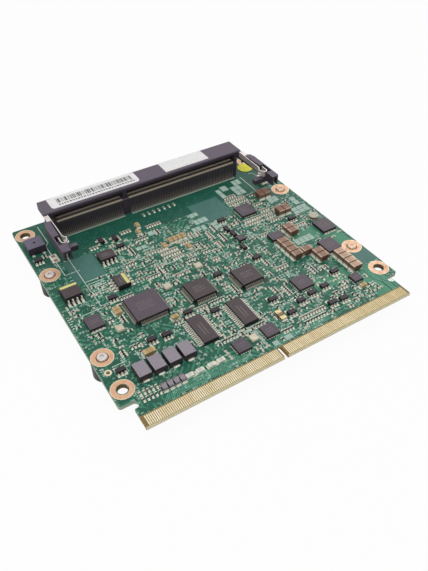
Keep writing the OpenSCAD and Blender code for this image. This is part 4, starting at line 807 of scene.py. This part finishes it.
# Plain rows of dashes on the larger chip tops; start and reach are shares of the chip's length
chipMarks = {"height": 0.008, "ink": "#7c7276", "shade": "#6b6266", "row": 0.85, "tall": 0.42, "rowRoom": 1.8,
             "mostRows": 4, "start": 0.26, "reach": 0.12, "reachSpread": 0.14, "dashes": (0.28, 0.4, 0.55),
             "gap": 0.16, "longFrom": 1.2,
             "nodes": ("controller_body", "quad_bodies", "shrink_bodies", "eight_lead_bodies",
                       "leadless_chips", "power_chips")}
marks = []
for b in [box for name in chipMarks["nodes"] for box in islandBoxes(name)]:
    cx, cy = middleOf(b)
    wide, deep = sidesOf(b)
    alongY = deep > wide * chipMarks["longFrom"]
    span, room = (deep, wide) if alongY else (wide, deep)
    rows = max(1, min(chipMarks["mostRows"], int(room / chipMarks["rowRoom"])))
    for row in range(rows):
        at, off = -span * chipMarks["start"], (row - (rows - 1) / 2) * chipMarks["row"]
        reach = span * (chipMarks["reach"] + chipMarks["reachSpread"] * dice.random())
        while at < reach:
            dash = dice.choice(chipMarks["dashes"])
            mid = at + dash / 2
            if alongY:
                marks.append((cx + off, cy + mid, b[5], chipMarks["tall"], dash, chipMarks["height"], 0))
            else:
                marks.append((cx + mid, cy + off, b[5], dash, chipMarks["tall"], chipMarks["height"], 0))
            at += dash + chipMarks["gap"]
# Compound that a laser has greyed: a shade paler than the top round it
markInk = grainMaterial("laserMarkedCompound", chipMarks["ink"], chipMarks["shade"], grainMm=0.3, rough=0.6)
spreadCopies(plateUnit, "chipMarks", marks, markInk)
for unit in (plateUnit, filletUnit, chipUnit):
    bpy.data.objects.remove(unit)
print("paint strips and chip marks", len(strips) + len(marks))

# Camera at the photograph's place, worked out from the edge contacts: mm, degrees
viewPoint = {"place": (-68.037, -113.269, 119.337), "turn": (46.8874, -0.0898, -32.1730), "lens": 37.175,
             "sensor": 36, "clip": (0.005, 20)}
camData = bpy.data.cameras.new("photoCamera")
camData.lens, camData.sensor_width = viewPoint["lens"], viewPoint["sensor"]
camData.clip_start, camData.clip_end = viewPoint["clip"]
camera = bpy.data.objects.new("photoCamera", camData)
camera.location = [v * mm for v in viewPoint["place"]]
camera.rotation_euler = [math.radians(v) for v in viewPoint["turn"]]
bpy.context.scene.collection.objects.link(camera)
bpy.context.scene.camera = camera

# Soft studio light and a white floor; each soft box is its place in metres, width and power
studio = {"world": 0.3, "aim": (0, 0, 0.006), "floor": "#f4f4f4", "floorSize": 8, "floorZ": -0.0001,
          "floorGlow": 0.95,
          "softBoxes": [((-0.10, -0.05, 0.55), 0.50, 1.45), ((-0.45, -0.40, 0.35), 0.35, 0.75),
                        ((0.45, 0.30, 0.40), 0.35, 0.65)]}
for i, (spot, width, power) in enumerate(studio["softBoxes"]):
    lampData = bpy.data.lights.new("softBox%d" % i, "AREA")
    lampData.size, lampData.energy = width, power
    lamp = bpy.data.objects.new("softBox%d" % i, lampData)
    lamp.location = spot
    lamp.rotation_euler = (Vector(studio["aim"]) - Vector(spot)).to_track_quat("-Z", "Y").to_euler()
    bpy.context.scene.collection.objects.link(lamp)


def whereSeen(tree):
    # 1 for what the camera sees, itself or in metal and glass, and 0 for light on the object
    ray = addNode(tree, "LightPath")
    seen = ray
    for other in ("Is Glossy Ray", "Is Transmission Ray"):
        seen = addNode(tree, "Math", {0: seen, 1: ray.node.outputs[other]}, operation="MAXIMUM")
    return seen


world = bpy.data.worlds.new("studioRoom")
world.use_nodes = True
room = world.node_tree
room.nodes.clear()
strength = addNode(room, "MapRange", {0: whereSeen(room), 3: studio["world"], 4: 1.0})
sky = addNode(room, "Background", {"Color": (1, 1, 1, 1), "Strength": strength})
addNode(room, "OutputWorld", {"Surface": sky})
bpy.context.scene.world = world
bpy.ops.object.select_all(action="DESELECT")
# the floor lies just under the posts
bpy.ops.mesh.primitive_plane_add(size=studio["floorSize"], location=(0, 0, studio["floorZ"]))
floor = bpy.context.object
floor.name = "paleFloor"
# Pale paper sweep: white where it is seen, with the object's shadow left in it
material, tree = newTree("paleFloor")
plain = addNode(tree, "BsdfDiffuse", {"Color": linear(studio["floor"])})
glow = addNode(tree, "Emission", {"Color": (1, 1, 1, 1), "Strength": 1.0})
both = addNode(tree, "Math", {0: whereSeen(tree), 1: studio["floorGlow"]}, operation="MULTIPLY")
mixed = addNode(tree, "MixShader", {0: both, 1: plain, 2: glow})
addNode(tree, "OutputMaterial", {"Surface": mixed})
floor.data.materials.append(material)
print("camera, light and floor set")

bpy.context.scene.view_settings.view_transform = "Standard"
